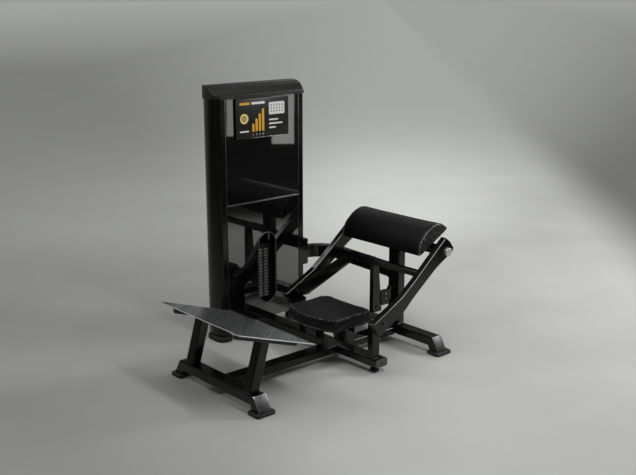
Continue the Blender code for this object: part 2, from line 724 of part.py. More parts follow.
def make_drive_lever(looks):
    """A tube bent at the middle: from the left arm's brace across, then down to the stop."""
    low = CROSSBAR_TOP - CROSSBAR_HEIGHT
    left = BRACE_END_X + SEAT_GAP
    front_view = rounded([
        (left, low),
        (LEVER_LEFT_X, low, LEVER_INNER_RADIUS),
        (LEVER_LEFT_X, LEVER_FOOT_Z),
        (LEVER_RIGHT_X, LEVER_FOOT_Z),
        (LEVER_RIGHT_X, CROSSBAR_TOP, LEVER_ELBOW_RADIUS),
        (left, CROSSBAR_TOP),
    ])
    lever = prism("drive_lever", front_view, "Y", CROSSBAR_FRONT_Y - CROSSBAR_STEP, LEVER_HEEL_Y,
                  looks["paint"])
    rear = CROSSBAR_FRONT_Y + CROSSBAR_DEPTH
    stop = STOP_FRONT_Y - SEAT_GAP
    past = LEVER_HEEL_Y + CUT_PAST
    side_view = [
        (rear, CROSSBAR_TOP + CUT_PAST),
        (rear, low),
        (stop, STOP_HIGH_Z + LEVER_STOP_MARGIN),
        (stop, STOP_LOW_Z - LEVER_STOP_MARGIN),
        (LEVER_HEEL_Y, LEVER_HEEL_Z),
        (LEVER_HEEL_Y, LEVER_FOOT_Z - CUT_PAST),
        (past, LEVER_FOOT_Z - CUT_PAST),
        (past, CROSSBAR_TOP + CUT_PAST),
    ]
    cut(lever, prism("drive_lever_back", side_view, "X", left - CUT_PAST, LEVER_RIGHT_X + CUT_PAST))
    round_edges(lever, LEVER_EDGE, 1)

    start = LEVER_RIGHT_X + SEAT_GAP
    section = rectangle(CROSSBAR_FRONT_Y, rear, low, CROSSBAR_TOP - CROSSBAR_STEP, CROSSBAR_ROUND)
    crossbar = prism("crossbar", section, "X", start, ARM_INNER_X - SEAT_GAP, looks["paint"])

    rings = []
    for x, y, z, low_corner, high_corner in (
        (-ARM_INNER_X + SEAT_GAP, PEG_Y, PEG_Z, BRACE_ROOT_LOW, BRACE_ROOT_HIGH),
        (BRACE_END_X, CROSSBAR_FRONT_Y, CROSSBAR_TOP, BRACE_END_LOW, (0, 0)),
    ):
        low_y, low_z = y + low_corner[0], z + low_corner[1]
        high_y, high_z = y + high_corner[0], z + high_corner[1]
        rings.append([(x, low_y, low_z), (x, low_y + BRACE_DEPTH, low_z),
                      (x, high_y + BRACE_DEPTH, high_z), (x, high_y, high_z)])
    brace = round_edges(lofted("arm_brace", rings, looks["paint"]), ARM_ROUND)
    return [lever, crossbar, brace]


def seat_outline(inset):
    """Plan of the seat cushion: sides drawn in, front bowed forward."""
    half, rear = SEAT_HALF_WIDTH - inset, SEAT_REAR_Y - inset
    corner, front = SEAT_CORNER_Y + inset, SEAT_CORNER_Y - SEAT_BOW + inset
    waist = half - SEAT_DRAW_IN
    middle = (rear + corner) / 2
    bow = []
    for i in range(1, SEAT_BOW_STEPS):
        t = 1 - 2 * i / SEAT_BOW_STEPS
        bow.append((half * t, front + (corner - front) * t * t))
    turn = max(SEAT_CORNER_ROUND - inset, SEAT_SMALLEST_TURN)
    rear_turn = SEAT_REAR_ROUND - inset
    right = [(half, rear, rear_turn), (waist, middle), (half, corner, turn)]
    left = [(-half, corner, turn), (-waist, middle), (-half, rear, rear_turn)]
    return rounded(right + bow + left + [(0, rear - SEAT_DRAW_IN / 2)])


def make_seat(looks):
    edge, low, turn = SEAT_LOW_Z + SEAT_THICKNESS, SEAT_LOW_Z, SEAT_EDGE_ROUND
    levels = (
        (turn, low),
        (0, low + turn),
        (SEAT_SIDE_DIP, (low + edge) / 2),
        (0, edge - turn * 1.6),
        (turn * 0.2, edge - turn * 0.7),
        (turn, edge),
    )
    middle = Vector((0, (SEAT_REAR_Y + SEAT_CORNER_Y) / 2))
    rings = [[(x, y, z) for x, y in seat_outline(inset)] for inset, z in levels]
    edge_ring = seat_outline(levels[-1][0])
    for share in CROWN_SHARES:
        height = edge + SEAT_CROWN * (1 - share ** 3)
        ring = []
        for x, y in edge_ring:
            ring.append((middle.x + (x - middle.x) * share, middle.y + (y - middle.y) * share, height))
        rings.append(ring)
    cushion = lofted("seat_cushion", rings, looks["cover"])
    top = low - SEAT_GAP
    board_low = top - SEAT_BOARD_HEIGHT
    board = prism("seat_board", seat_outline(SEAT_BOARD_INSET), "Z", board_low, top, looks["paint"])

    base, reach = TUBE_TOP + SEAT_GAP, board_low - SEAT_GAP
    tip = GUSSET_BACK_Y - GUSSET_TOP_LENGTH
    outline = rounded([
        (GUSSET_BACK_Y - GUSSET_TOE_LENGTH, base),
        (GUSSET_BACK_Y, base),
        (GUSSET_BACK_Y, reach),
        (tip, reach),
        (tip + GUSSET_CURVE_IN, reach - GUSSET_CURVE_DROP, GUSSET_CURVE_RADIUS),
    ])
    right = prism("seat_bracket_right", outline, "X", GUSSET_RIGHT_X - GUSSET_THICKNESS / 2,
                  GUSSET_RIGHT_X + GUSSET_THICKNESS / 2, looks["paint"])
    heel = SEAT_REAR_Y - GUSSET_LEFT_INSET
    outline = rectangle(GUSSET_LEFT_X - GUSSET_LEFT_HALF_WIDTH, GUSSET_LEFT_X + GUSSET_LEFT_HALF_WIDTH,
                        heel - GUSSET_LEFT_DEPTH, heel, GUSSET_LEFT_ROUND)
    left = prism("seat_bracket_left", outline, "Z", base, reach, looks["paint"])
    return [cushion, board, round_edges(right, SMALL_EDGE, 1), left]


def chord_frame():
    pivot = Vector((PIVOT_Y, PIVOT_Z))
    start = pivot + Vector(CHORD_LOW)
    along = pivot + Vector(CHORD_HIGH) - start
    length = along.length
    along.normalize()
    return start, along, Vector((-along.y, along.x)), length


def from_chord(along_by, out_by):
    """(y, z) of a point given along the pad's chord and square to it."""
    start, along, out, _ = chord_frame()
    point = start + along * along_by + out * out_by
    return point.x, point.y


def back_pad_section(inset):
    """Half an ellipse over the chord, with its two corners eased."""
    _, _, _, length = chord_frame()
    half, rise = length / 2 - inset, BACK_PAD_RISE - inset
    section = []
    for i in range(BACK_PAD_STEPS + 1):
        angle = math.pi * i / BACK_PAD_STEPS
        lift = max(rise * math.sin(angle), BACK_PAD_CORNER * 2 / 3)
        section.append(from_chord(length / 2 - half * math.cos(angle), lift))
    section.append(from_chord(length / 2 + half - BACK_PAD_CORNER, 0))
    section.append(from_chord(length / 2, 0))
    section.append(from_chord(length / 2 - half + BACK_PAD_CORNER, 0))
    return section


def make_back_pad(looks):
    end, crown, dip = BACK_PAD_HALF_WIDTH, BACK_PAD_END_CROWN, BACK_PAD_DIP
    stations = (
        (end + crown, crown * 12.5),
        (end + crown * 0.7, crown * 6),
        (end, crown),
        (end - crown * 0.75, crown / 4),
        (end - crown * 2.5, 0),
        (end * 0.6, dip),
        (end * 0.25, dip),
    )
    places = [(-x, inset) for x, inset in stations] + [(x, inset) for x, inset in reversed(stations)]
    rings = [[(x, y, z) for y, z in back_pad_section(inset)] for x, inset in places]
    pad = lofted("back_pad", rings, looks["cover"])

    _, _, _, length = chord_frame()
    near, far = BACK_BOARD_INSET, length - BACK_BOARD_INSET
    top, low = -SEAT_GAP, -SEAT_GAP - BACK_BOARD_HEIGHT
    outline = [from_chord(near, low), from_chord(far, low), from_chord(far, top), from_chord(near, top)]
    width = BACK_PAD_HALF_WIDTH - BACK_BOARD_INSET
    board = prism("back_board", outline, "X", -width, width, looks["paint"])
    start, along, out, _ = chord_frame()
    reach = (Vector((PIVOT_Y, PIVOT_Z)) - start).dot(along)
    depth = (Vector((PIVOT_Y, PIVOT_Z)) - start).dot(out)
    near, far = reach - SADDLE_LENGTH / 2, reach + SADDLE_LENGTH / 2
    wrap, root = depth + SADDLE_WRAP, (top + low) / 2
    outline = [from_chord(near, wrap), from_chord(far, wrap), from_chord(far, root), from_chord(near, root)]
    for side in (LEFT, RIGHT):
        middle = side * SADDLE_X
        saddle = prism(f"saddle_{side_name(side)}", outline, "X", middle - SADDLE_WIDTH / 2,
                       middle + SADDLE_WIDTH / 2)
        fuse(board, saddle)
    housing = bar("board_housing_cut", HOUSING_RADIUS + SEAT_GAP, "X", (PIVOT_Y, PIVOT_Z),
                  -HOUSING_HALF_LENGTH, HOUSING_HALF_LENGTH)
    return [pad, cut(board, housing)]


def column_outline(side, grow=0.0):
    """(x, y) section of a tower column: flat inside, skin bowed outwards."""
    front, back = TOWER_FRONT_X + grow, TOWER_FRONT_X - TOWER_DEPTH - grow
    inner, edge = COLUMN_INNER - grow, COLUMN_INNER + COLUMN_FACE + grow
    skin = []
    for i in range(COLUMN_STEPS + 1):
        t = i / COLUMN_STEPS
        bow = COLUMN_BULGE * (1 - (2 * t - 1) ** 2) ** 0.75
        skin.append((front + (back - front) * t, edge + bow))
    points = [(front, inner), *skin, (back, inner)]
    return [(x, TOWER_Y + side * across) for x, across in points]


def make_tower(looks):
    paint, gloss = looks["paint"], looks["gloss"]
    pieces = []
    top = HOOD_LOW_Z - SEAT_GAP
    foot_top = TOWER_FOOT_HEIGHT
    foot_x, foot_y = TOWER_FRONT_X - TOWER_FOOT_SETBACK, COLUMN_INNER + TOWER_FOOT_OUT
    for name, side in (("front", -1), ("rear", 1)):
        pieces.append(prism(f"tower_column_{name}", column_outline(side), "Z",
                            foot_top + SEAT_GAP, top, paint))
        middle = TOWER_Y + side * foot_y
        outline = rectangle(foot_x - TOWER_FOOT_LENGTH / 2, foot_x + TOWER_FOOT_LENGTH / 2,
                            middle - TOWER_FOOT_WIDTH / 2, middle + TOWER_FOOT_WIDTH / 2,
                            TOWER_FOOT_ROUND)
        foot = prism(f"tower_foot_{name}", outline, "Z", 0, foot_top, looks["rubber"])
        pieces.append(round_edges(foot, TOWER_FOOT_EDGE))

    near = TOWER_Y - COLUMN_INNER + SEAT_GAP
    far = TOWER_Y + COLUMN_INNER - SEAT_GAP
    face = TOWER_FRONT_X - PANEL_RECESS
    outline = rectangle(near, far, PANEL_SEAM_Z + SEAM_GAP / 2, top)
    pieces.append(prism("upper_panel", outline, "X", face - PANEL_THICKNESS, face, gloss))
    outline = rectangle(near, far, PANEL_LOW_Z, PANEL_SEAM_Z - SEAM_GAP / 2)
    lower = prism("lower_panel", outline, "X", face - PANEL_THICKNESS, face, gloss)
    inside = SLOT_HALF_WIDTH - TRIM_WIDTH
    hole = stadium(SLOT_Y, inside, SLOT_LOW_Z + TRIM_WIDTH, SLOT_HIGH_Z - TRIM_WIDTH)
    cut(lower, prism("slot_cutter", hole, "X", face - CUT_PAST, face + CUT_PAST))
    pieces.append(lower)
    rim = stadium(SLOT_Y, SLOT_HALF_WIDTH, SLOT_LOW_Z, SLOT_HIGH_Z)
    start, end = face + SEAT_GAP, face + SEAT_GAP + TRIM_HEIGHT
    rings = []
    for x, share in ((start, 0), (end - TRIM_EDGE, 0), (end, TRIM_CHAMFER), (end, 1 - TRIM_CHAMFER),
                     (start, 1)):
        ring = []
        for (outer_y, outer_z), (inner_y, inner_z) in zip(rim, hole):
            ring.append((x, outer_y + (inner_y - outer_y) * share, outer_z + (inner_z - outer_z) * share))
        rings.append(ring)
    pieces.append(lofted("slot_trim", rings, looks["steel"], closed=True))

    back = TOWER_FRONT_X - TOWER_DEPTH + PANEL_RECESS
    outline = rectangle(near, far, PANEL_LOW_Z, top)
    pieces.append(prism("rear_panel", outline, "X", back, back + PANEL_THICKNESS, gloss))

    base_low = TUBE_TOP + SEAT_GAP
    outline = rectangle(back + BASE_INSET, TOWER_FRONT_X - BASE_INSET, near, far)
    base = prism("tower_base", outline, "Z", base_low, base_low + BASE_HEIGHT, paint)
    middle = STACK_FRONT_X - STACK_DEPTH / 2
    outline = rectangle(middle - RISER_DEPTH / 2, middle + RISER_DEPTH / 2,
                        STACK_Y - RISER_HALF_WIDTH, STACK_Y + RISER_HALF_WIDTH)
    riser = prism("base_riser", outline, "Z", base_low + BASE_HEIGHT / 2, STACK_LOW_Z - SEAT_GAP)
    pieces.append(fuse(base, riser))
    return pieces


def make_hood(looks):
    """Shed roof that curves down from the flat back to a lip over the front panel."""
    lip_x = TOWER_FRONT_X + HOOD_LIP
    back_x = TOWER_FRONT_X - TOWER_DEPTH - HOOD_OVERHANG / 2
    lip_z, top_z = HOOD_LOW_Z + HOOD_LIP_HEIGHT, HOOD_LOW_Z + HOOD_CURVE[-1][1]
    profile = rounded([
        (lip_x, HOOD_LOW_Z),
        (lip_x, lip_z - HOOD_LIP_EDGE / 4),
        (lip_x - HOOD_LIP_EDGE, lip_z),
        *[(TOWER_FRONT_X - depth, HOOD_LOW_Z + rise, radius) for depth, rise, radius in HOOD_CURVE],
        (back_x, top_z, HOOD_BACK_ROUND),
        (back_x, HOOD_LOW_Z),
    ])
    half = COLUMN_INNER + COLUMN_FACE + COLUMN_BULGE + CUT_PAST
    hood = prism("tower_cap", profile, "Y", TOWER_Y - half, TOWER_Y + half, looks["paint"])
    front_side = column_outline(-1, HOOD_OVERHANG)[1:-1]
    rear_side = column_outline(1, HOOD_OVERHANG)[1:-1]
    reach = COLUMN_INNER + COLUMN_FACE
    mouth = [(lip_x + HOOD_LIP, TOWER_Y - reach), (lip_x + HOOD_LIP, TOWER_Y + reach)]
    plan = [mouth[0], *front_side, *reversed(rear_side), mouth[1]]
    shape = prism("hood_plan", plan, "Z", HOOD_LOW_Z - CUT_PAST, top_z + CUT_PAST)
    return [combine(hood, shape, "INTERSECT")]


def stack_middle_x():
    return STACK_FRONT_X - STACK_DEPTH / 2


def plate_pack(name, count, bottom, finish):
    """Plates lying on each other, told apart by thin grooves at front and back."""
    front, back = STACK_FRONT_X, STACK_FRONT_X - STACK_DEPTH
    going_up, coming_down = [], []
    for i in range(count):
        low = bottom + i * PLATE_PITCH
        high = low + PLATE_PITCH - PLATE_GROOVE
        going_up += [(front, low), (front, high)]
        coming_down += [(back, low), (back, high)]
        if i < count - 1:
            up = low + PLATE_PITCH
            going_up += [(front - GROOVE_DEPTH, high), (front - GROOVE_DEPTH, up)]
            coming_down += [(back + GROOVE_DEPTH, high), (back + GROOVE_DEPTH, up)]
    outline = going_up + list(reversed(coming_down))
    return prism(name, outline, "Y", STACK_Y - STACK_HALF_WIDTH, STACK_Y + STACK_HALF_WIDTH, finish)


def cut_stack_bores(obj, low, high, stem_gap=SLIDE_GAP):
    for name, y, radius in (
        ("front_rod_bore", STACK_Y - ROD_SPREAD, ROD_RADIUS + SLIDE_GAP),
        ("stem_bore", STACK_Y, STEM_RADIUS + stem_gap),
        ("rear_rod_bore", STACK_Y + ROD_SPREAD, ROD_RADIUS + SLIDE_GAP),
    ):
        cutter = bar(f"{obj.name}_{name}", radius, "Z", (stack_middle_x(), y), low - CUT_PAST,
                     high + CUT_PAST, sides=SMALL_SIDES)
        cut(obj, cutter)


def cut_pin_holes(obj, first_z, count, back):
    maker = bmesh.new()
    for i in range(count):
        z = first_z + i * PLATE_PITCH
        ends = []
        for x in (back, STACK_FRONT_X + CUT_PAST):
            ring = []
            for k in range(HOLE_SIDES):
                angle = 2 * math.pi * k / HOLE_SIDES
                y = STACK_Y + (PIN_RADIUS + BORE_GAP) * math.cos(angle)
                ring.append(maker.verts.new((x, y, z + (PIN_RADIUS + BORE_GAP) * math.sin(angle))))
            ends.append(ring)
        maker.faces.new(ends[0])
        maker.faces.new(ends[1])
        for k in range(HOLE_SIDES):
            maker.faces.new((ends[0][k - 1], ends[0][k], ends[1][k], ends[1][k - 1]))
    return cut(obj, add_object(f"{obj.name}_pin_holes", maker, None))


def make_lower_stack(looks):
    high = STACK_LOW_Z + LOWER_PLATES * PLATE_PITCH
    plates = plate_pack("lower_plates", LOWER_PLATES, STACK_LOW_Z, looks["iron"])
    cut_stack_bores(plates, STACK_LOW_Z, high)
    first = STACK_LOW_Z + (PLATE_PITCH - PLATE_GROOVE) / 2
    cut_pin_holes(plates, first, LOWER_PLATES, stack_middle_x())
    pieces = [plates]
    for name, side in (("front", -1), ("rear", 1)):
        centre = (stack_middle_x(), STACK_Y + side * ROD_SPREAD)
        pieces.append(bar(f"guide_rod_{name}", ROD_RADIUS, "Z", centre, STACK_LOW_Z,
                          BAR_LOW_Z - SEAT_GAP, looks["steel"], SMALL_SIDES))
    return pieces


def make_lifted_stack(looks):
    bottom = STACK_LOW_Z + LOWER_PLATES * PLATE_PITCH
    top = bottom + LIFTED_PLATES * PLATE_PITCH
    plates = plate_pack("lifted_plates", LIFTED_PLATES, bottom, looks["iron"])
    cut_stack_bores(plates, bottom, top)
    first = bottom + (PLATE_PITCH - PLATE_GROOVE) / 2
    cut_pin_holes(plates, first, LIFTED_PLATES, stack_middle_x())

    front, back = STACK_FRONT_X, STACK_FRONT_X - STACK_DEPTH
    section = rectangle(back, front, STACK_Y - STACK_HALF_WIDTH, STACK_Y + STACK_HALF_WIDTH,
                        HEAD_PLATE_ROUND)
    head_top = top + HEAD_PLATE_HEIGHT
    head = prism("head_plate", section, "Z", top, head_top, looks["iron"])
    cut_stack_bores(head, top, head_top, SEAT_GAP)

    profile = [(STEM_RADIUS, STACK_LOW_Z + STEM_FOOT), (STEM_RADIUS, head_top + STEM_RISE - STEM_TIP),
               (STEM_TIP_RADIUS, head_top + STEM_RISE)]
    stem = turned("selector_stem", profile, "Z", (stack_middle_x(), STACK_Y), looks["steel"],
                  SMALL_SIDES)
    pin_z = bottom + (PLATE_PITCH - PLATE_GROOVE) / 2
    hole = bar("stem_pin_hole", PIN_RADIUS + BORE_GAP, "X", (STACK_Y, pin_z), back, front,
               sides=HOLE_SIDES)
    cut(stem, hole)

    tip = stack_middle_x() + PIN_REACH
    knob = front + PIN_EDGE
    knob_end = knob + PIN_KNOB_LENGTH
    profile = [(PIN_RADIUS - PIN_EDGE, tip), (PIN_RADIUS, tip + PIN_EDGE * 2), (PIN_RADIUS, knob),
               (PIN_KNOB_RADIUS, knob + PIN_EDGE), (PIN_KNOB_RADIUS, knob_end - SMALL_EDGE),
               (PIN_KNOB_RADIUS - SMALL_EDGE, knob_end)]
    pin = turned("selector_pin", profile, "X", (STACK_Y, pin_z), looks["rubber"], SMALL_SIDES)
    return [plates, head, stem], pin


def make_pulley(looks):
    middle, centre_y = stack_middle_x(), STACK_Y + PULLEY_RADIUS
    root = PULLEY_RADIUS - CABLE_RADIUS - SEAT_GAP
    rim = PULLEY_RADIUS + PULLEY_RIM
    half, groove = PULLEY_WIDTH / 2, CABLE_RADIUS + RUN_GAP
    flat = half - PULLEY_RIM_FLAT
    bore = AXLE_RADIUS + SEAT_GAP
    profile = [(rim, middle - half), (rim, middle - flat), (root, middle - groove),
               (root, middle + groove), (rim, middle + flat), (rim, middle + half),
               (bore, middle + half), (bore, middle - half)]
    pulley = turned("top_pulley", profile, "X", (centre_y, PULLEY_Z), looks["rubber"], PULLEY_SIDES,
                    bored=True)

    near = TOWER_Y - COLUMN_INNER + SEAT_GAP
    far = TOWER_Y + COLUMN_INNER - SEAT_GAP
    outline = rectangle(middle - BAR_DEPTH / 2, middle + BAR_DEPTH / 2, BAR_LOW_Z,
                        BAR_LOW_Z + BAR_HEIGHT)
    bracket = prism("pulley_bracket", outline, "Y", near, far, looks["paint"])
    inner = half + RUN_GAP
    for name, side in (("inner", -1), ("outer", 1)):
        first, second = middle + side * inner, middle + side * (inner + CHEEK_THICKNESS)
        outline = rectangle(centre_y - CHEEK_WIDTH / 2, centre_y + CHEEK_WIDTH / 2,
                            BAR_LOW_Z + BAR_HEIGHT / 2, PULLEY_Z + CHEEK_WIDTH / 2)
        fuse(bracket, prism(f"cheek_{name}", outline, "X", min(first, second), max(first, second)))
    ends = inner + CHEEK_THICKNESS + AXLE_END
    axle = bar("pulley_axle", AXLE_RADIUS, "X", (centre_y, PULLEY_Z), middle - ends, middle + ends)
    fuse(bracket, axle)
    cut(bracket, bar("cable_hole", CABLE_RADIUS * 2, "Z", (middle, STACK_Y), BAR_LOW_Z - CUT_PAST,
                     BAR_LOW_Z + BAR_HEIGHT + CUT_PAST, sides=SMALL_SIDES))

    stem_top = (STACK_LOW_Z + (LOWER_PLATES + LIFTED_PLATES) * PLATE_PITCH + HEAD_PLATE_HEIGHT
                + STEM_RISE)
    cable = bar("lift_cable", CABLE_RADIUS, "Z", (middle, STACK_Y), stem_top + SEAT_GAP, PULLEY_Z,
                looks["steel"], HOLE_SIDES)
    return pulley, bracket, cable


def flange_face():
    return TOWER_Y + COLUMN_INNER + COLUMN_FACE + COLUMN_BULGE + TIE_FLANGE_HEIGHT


def tie_path():
    """Centre line and heading of the tie tube: off the tower's rear side, one bend, across."""
    radius = TIE_BEND_RADIUS
    start = Vector((TIE_START_X, flange_face() + SEAT_GAP))
    centre = Vector((TIE_START_X + radius, TIE_Y - radius))
    stations = [(start, Vector((0, 1)))]
    for i in range(TIE_STEPS + 1):
        angle = math.pi - math.pi / 2 * i / TIE_STEPS
        outward = Vector((math.cos(angle), math.sin(angle)))
        stations.append((centre + radius * outward, Vector((outward.y, -outward.x))))
    stations.append((Vector((-UPRIGHT_HALF_WIDTH - SEAT_GAP, TIE_Y)), Vector((1, 0))))
    return stations


def make_tie(looks):
    stations = tie_path()
    points = [point for point, _ in stations]
    lengths = [0.0]
    for first, second in zip(points, points[1:]):
        lengths.append(lengths[-1] + (second - first).length)
    section = rectangle(-TIE_WIDTH / 2, TIE_WIDTH / 2, -TIE_HEIGHT / 2, TIE_HEIGHT / 2, TIE_ROUND)
    rings = []
    for (point, heading), length in zip(stations, lengths):
        height = TIE_START_Z + (TIE_END_Z - TIE_START_Z) * length / lengths[-1]
        ring = []
        for a, b in section:
            ring.append((point.x + heading.y * a, point.y - heading.x * a, height + b))
        rings.append(ring)
    tube = lofted("tie_tube", rings, looks["paint"])

    column_edge = TOWER_Y + COLUMN_INNER + COLUMN_FACE
    outline = rectangle(TIE_START_X - TIE_FLANGE_BACK, TIE_START_X + TIE_FLANGE_FRONT, column_edge,
                        flange_face())
    low, high = TIE_START_Z - TIE_FLANGE_BELOW, TIE_START_Z + TIE_FLANGE_ABOVE
    flange = prism("tie_flange", outline, "Z", low, high, looks["paint"])
    skin = prism("flange_column_cut", column_outline(1, SEAT_GAP), "Z", low - CUT_PAST, high + CUT_PAST)
    return [tube, cut(flange, skin)]


def group(name, place, parent):
    """An empty on a joint's axis, or at the machine's own origin."""
    empty = bpy.data.objects.new(name, None)
    empty.location = place
    empty.parent = parent
    empty.empty_display_size = MARKER_SIZE
    bpy.context.scene.collection.objects.link(empty)
    return empty


def hang(pieces, holder, place):
    """Puts pieces that are modelled in the working frame under an empty that stands at place."""
    for piece in pieces:
        piece.parent = holder
        piece.location = -Vector(place)


def centre_on_box(holder, pieces):
    """Moves the whole machine so that its origin is the bottom centre of its box."""
    bpy.context.view_layer.update()
    graph = bpy.context.evaluated_depsgraph_get()
    corners = []
    for piece in pieces:
        evaluated = piece.evaluated_get(graph)
        corners += [evaluated.matrix_world @ Vector(corner) for corner in evaluated.bound_box]
    lowest = [min(corner[i] for corner in corners) for i in range(3)]
    highest = [max(corner[i] for corner in corners) for i in range(3)]
    holder.location = (-(lowest[0] + highest[0]) / 2, -(lowest[1] + highest[1]) / 2, -lowest[2])


def main():
    clear_scene()
    looks = {name: material(name, *values) for name, values in make_materials().items()}
    machine = group("machine", (0, 0, 0), None)

    fixed = make_floor_frame(looks) + make_foot_plate(looks) + make_posts(looks)
    fixed += make_upright(looks) + make_stop(looks) + make_seat(looks) + make_back_pad(looks)
    fixed += make_tower(looks) + make_hood(looks) + make_lower_stack(looks) + make_tie(looks)
    pulley, bracket, cable = make_pulley(looks)
    fixed += [bracket, cable]
    hang(fixed, machine, (0, 0, 0))

    moving = make_arms(looks) + make_drive_lever(looks)
    pivot = (0, PIVOT_Y, PIVOT_Z)
    hang(moving, group("arm_pivot", pivot, machine), pivot)

    lifted, pin = make_lifted_stack(looks)
    stack = (stack_middle_x(), STACK_Y, STACK_LOW_Z + LOWER_PLATES * PLATE_PITCH)
    hang(lifted + [pin], group("stack_lift", stack, machine), stack)

    axle = (stack_middle_x(), STACK_Y + PULLEY_RADIUS, PULLEY_Z)
    hang([pulley], group("pulley_axle_line", axle, machine), axle)

    pieces = fixed + moving + lifted + [pin, pulley]
    centre_on_box(machine, pieces)
    print(len(pieces), "pieces, origin at", tuple(round(-value, 5) for value in machine.location))


main()
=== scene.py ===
"""Looks for the glute machine: finishes, padding, labels, welds, bolts, floor, light and camera."""

import json
import math

import bpy
from mathutils import Matrix, Vector
from mathutils.bvhtree import BVHTree

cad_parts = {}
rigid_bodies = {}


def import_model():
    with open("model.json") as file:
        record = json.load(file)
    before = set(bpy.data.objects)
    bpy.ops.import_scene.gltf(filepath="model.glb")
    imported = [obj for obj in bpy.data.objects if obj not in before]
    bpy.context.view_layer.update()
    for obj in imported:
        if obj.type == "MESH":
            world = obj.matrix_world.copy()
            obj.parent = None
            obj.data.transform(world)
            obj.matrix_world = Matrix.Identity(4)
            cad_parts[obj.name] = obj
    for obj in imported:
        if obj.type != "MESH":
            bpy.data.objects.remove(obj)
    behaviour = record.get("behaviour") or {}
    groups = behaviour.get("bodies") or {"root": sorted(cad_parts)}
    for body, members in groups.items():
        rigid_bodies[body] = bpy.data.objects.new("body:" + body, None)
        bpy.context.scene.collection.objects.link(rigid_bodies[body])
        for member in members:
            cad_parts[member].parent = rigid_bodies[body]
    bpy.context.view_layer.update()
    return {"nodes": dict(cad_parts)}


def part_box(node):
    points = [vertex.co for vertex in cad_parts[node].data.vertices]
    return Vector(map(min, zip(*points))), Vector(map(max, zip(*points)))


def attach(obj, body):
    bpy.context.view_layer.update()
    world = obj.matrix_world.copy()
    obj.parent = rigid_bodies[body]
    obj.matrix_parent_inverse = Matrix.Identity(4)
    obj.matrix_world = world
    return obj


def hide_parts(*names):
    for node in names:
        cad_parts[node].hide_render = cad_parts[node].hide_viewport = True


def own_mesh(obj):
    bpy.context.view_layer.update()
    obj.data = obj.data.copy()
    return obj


for leftover in list(bpy.data.objects):
    bpy.data.objects.remove(leftover, do_unlink=True)
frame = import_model()
nodes = frame["nodes"]

FRAME_BODY = "machine_frame"
ARM_BODY = "movement_arm"
STACK_BODY = "weight_stack"


def middle(node):
    low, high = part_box(node)
    return (low + high) / 2


# The sitter's middle line, the seat and the pivot lead every place below
SEAT_TO_PIVOT = 0.638
MIDDLE_X = middle("main_beam").x
PIVOT = middle("pivot_shaft")
SEAT_LINE = PIVOT.y - SEAT_TO_PIVOT
ACROSS, BACKWARD = Vector((1, 0, 0)), Vector((0, 1, 0))
SIDES = (("right", 1), ("left", -1))


def spot(x, y, z):
    """A place counted from the sitter's middle line, the seat and the floor."""
    return Vector((MIDDLE_X + x, SEAT_LINE + y, z))


# Modelling helpers

MERGE_DISTANCE = 0.00001
THREAD_ANGLE = 60


def deselect():
    if bpy.context.mode != "OBJECT":
        bpy.ops.object.mode_set(mode="OBJECT")
    bpy.ops.object.select_all(action="DESELECT")


def take(*objects):
    deselect()
    for obj in objects:
        obj.select_set(True)
    bpy.context.view_layer.objects.active = objects[0]


def apply_place(obj):
    take(obj)
    bpy.ops.object.transform_apply(location=True, rotation=True, scale=True)
    return obj


def apply_modifiers(obj):
    take(obj)
    for modifier in list(obj.modifiers):
        bpy.ops.object.modifier_apply(modifier=modifier.name)
    return obj


def dress(obj, name, look, body):
    """A finished piece: its name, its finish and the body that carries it."""
    apply_place(obj)
    obj.name = name
    obj.data.name = name
    obj.data.materials.clear()
    obj.data.materials.append(look)
    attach(obj, body)
    return obj


def smooth(obj, degrees=35):
    take(obj)
    bpy.ops.object.shade_smooth_by_angle(angle=math.radians(degrees))
    return obj


def outward(obj):
    take(obj)
    bpy.ops.object.mode_set(mode="EDIT")
    bpy.ops.mesh.select_all(action="SELECT")
    bpy.ops.mesh.remove_doubles(threshold=MERGE_DISTANCE)
    bpy.ops.mesh.normals_make_consistent(inside=False)
    bpy.ops.object.mode_set(mode="OBJECT")
    return obj


def block(low, high):
    """A box between two corners, its place already in its mesh."""
    low, high = Vector(low), Vector(high)
    deselect()
    bpy.ops.mesh.primitive_cube_add(size=1, location=(low + high) / 2, scale=high - low)
    return apply_place(bpy.context.object)


def ease_edges(obj, width, segments=2):
    take(obj)
    bpy.ops.object.mode_set(mode="EDIT")
    bpy.ops.mesh.select_all(action="SELECT")
    bpy.ops.mesh.bevel(offset=width, segments=segments, affect="EDGES")
    bpy.ops.object.mode_set(mode="OBJECT")
    return smooth(obj)


def rod(radius, start, end, sides=24):
    """A round bar from start to end."""
    start, end = Vector(start), Vector(end)
    turn = (end - start).to_track_quat("Z", "Y")
    deselect()
    bpy.ops.mesh.primitive_cylinder_add(vertices=sides, radius=radius, depth=(end - start).length,
                                        location=(start + end) / 2, rotation=turn.to_euler())
    return apply_place(bpy.context.object)


def looks_up(face):
    return face.normal.z > 0.9


def edit_faces(obj, wanted, action, **values):
    """One edit of only the faces that the test wants."""
    take(obj)
    bpy.ops.object.mode_set(mode="EDIT")
    bpy.ops.mesh.select_mode(type="FACE")
    bpy.ops.mesh.select_all(action="DESELECT")
    bpy.ops.object.mode_set(mode="OBJECT")
    for face in obj.data.polygons:
        face.select = wanted(face)
    bpy.ops.object.mode_set(mode="EDIT")
    action(**values)
    bpy.ops.object.mode_set(mode="OBJECT")


def copy_at(master, matrix):
    made = master.copy()
    made.data = master.data.copy()
    bpy.context.scene.collection.objects.link(made)
    made.data.transform(matrix)
    return made


def join(objects):
    take(*objects)
    if len(objects) > 1:
        bpy.ops.object.join()
    return bpy.context.view_layer.objects.active


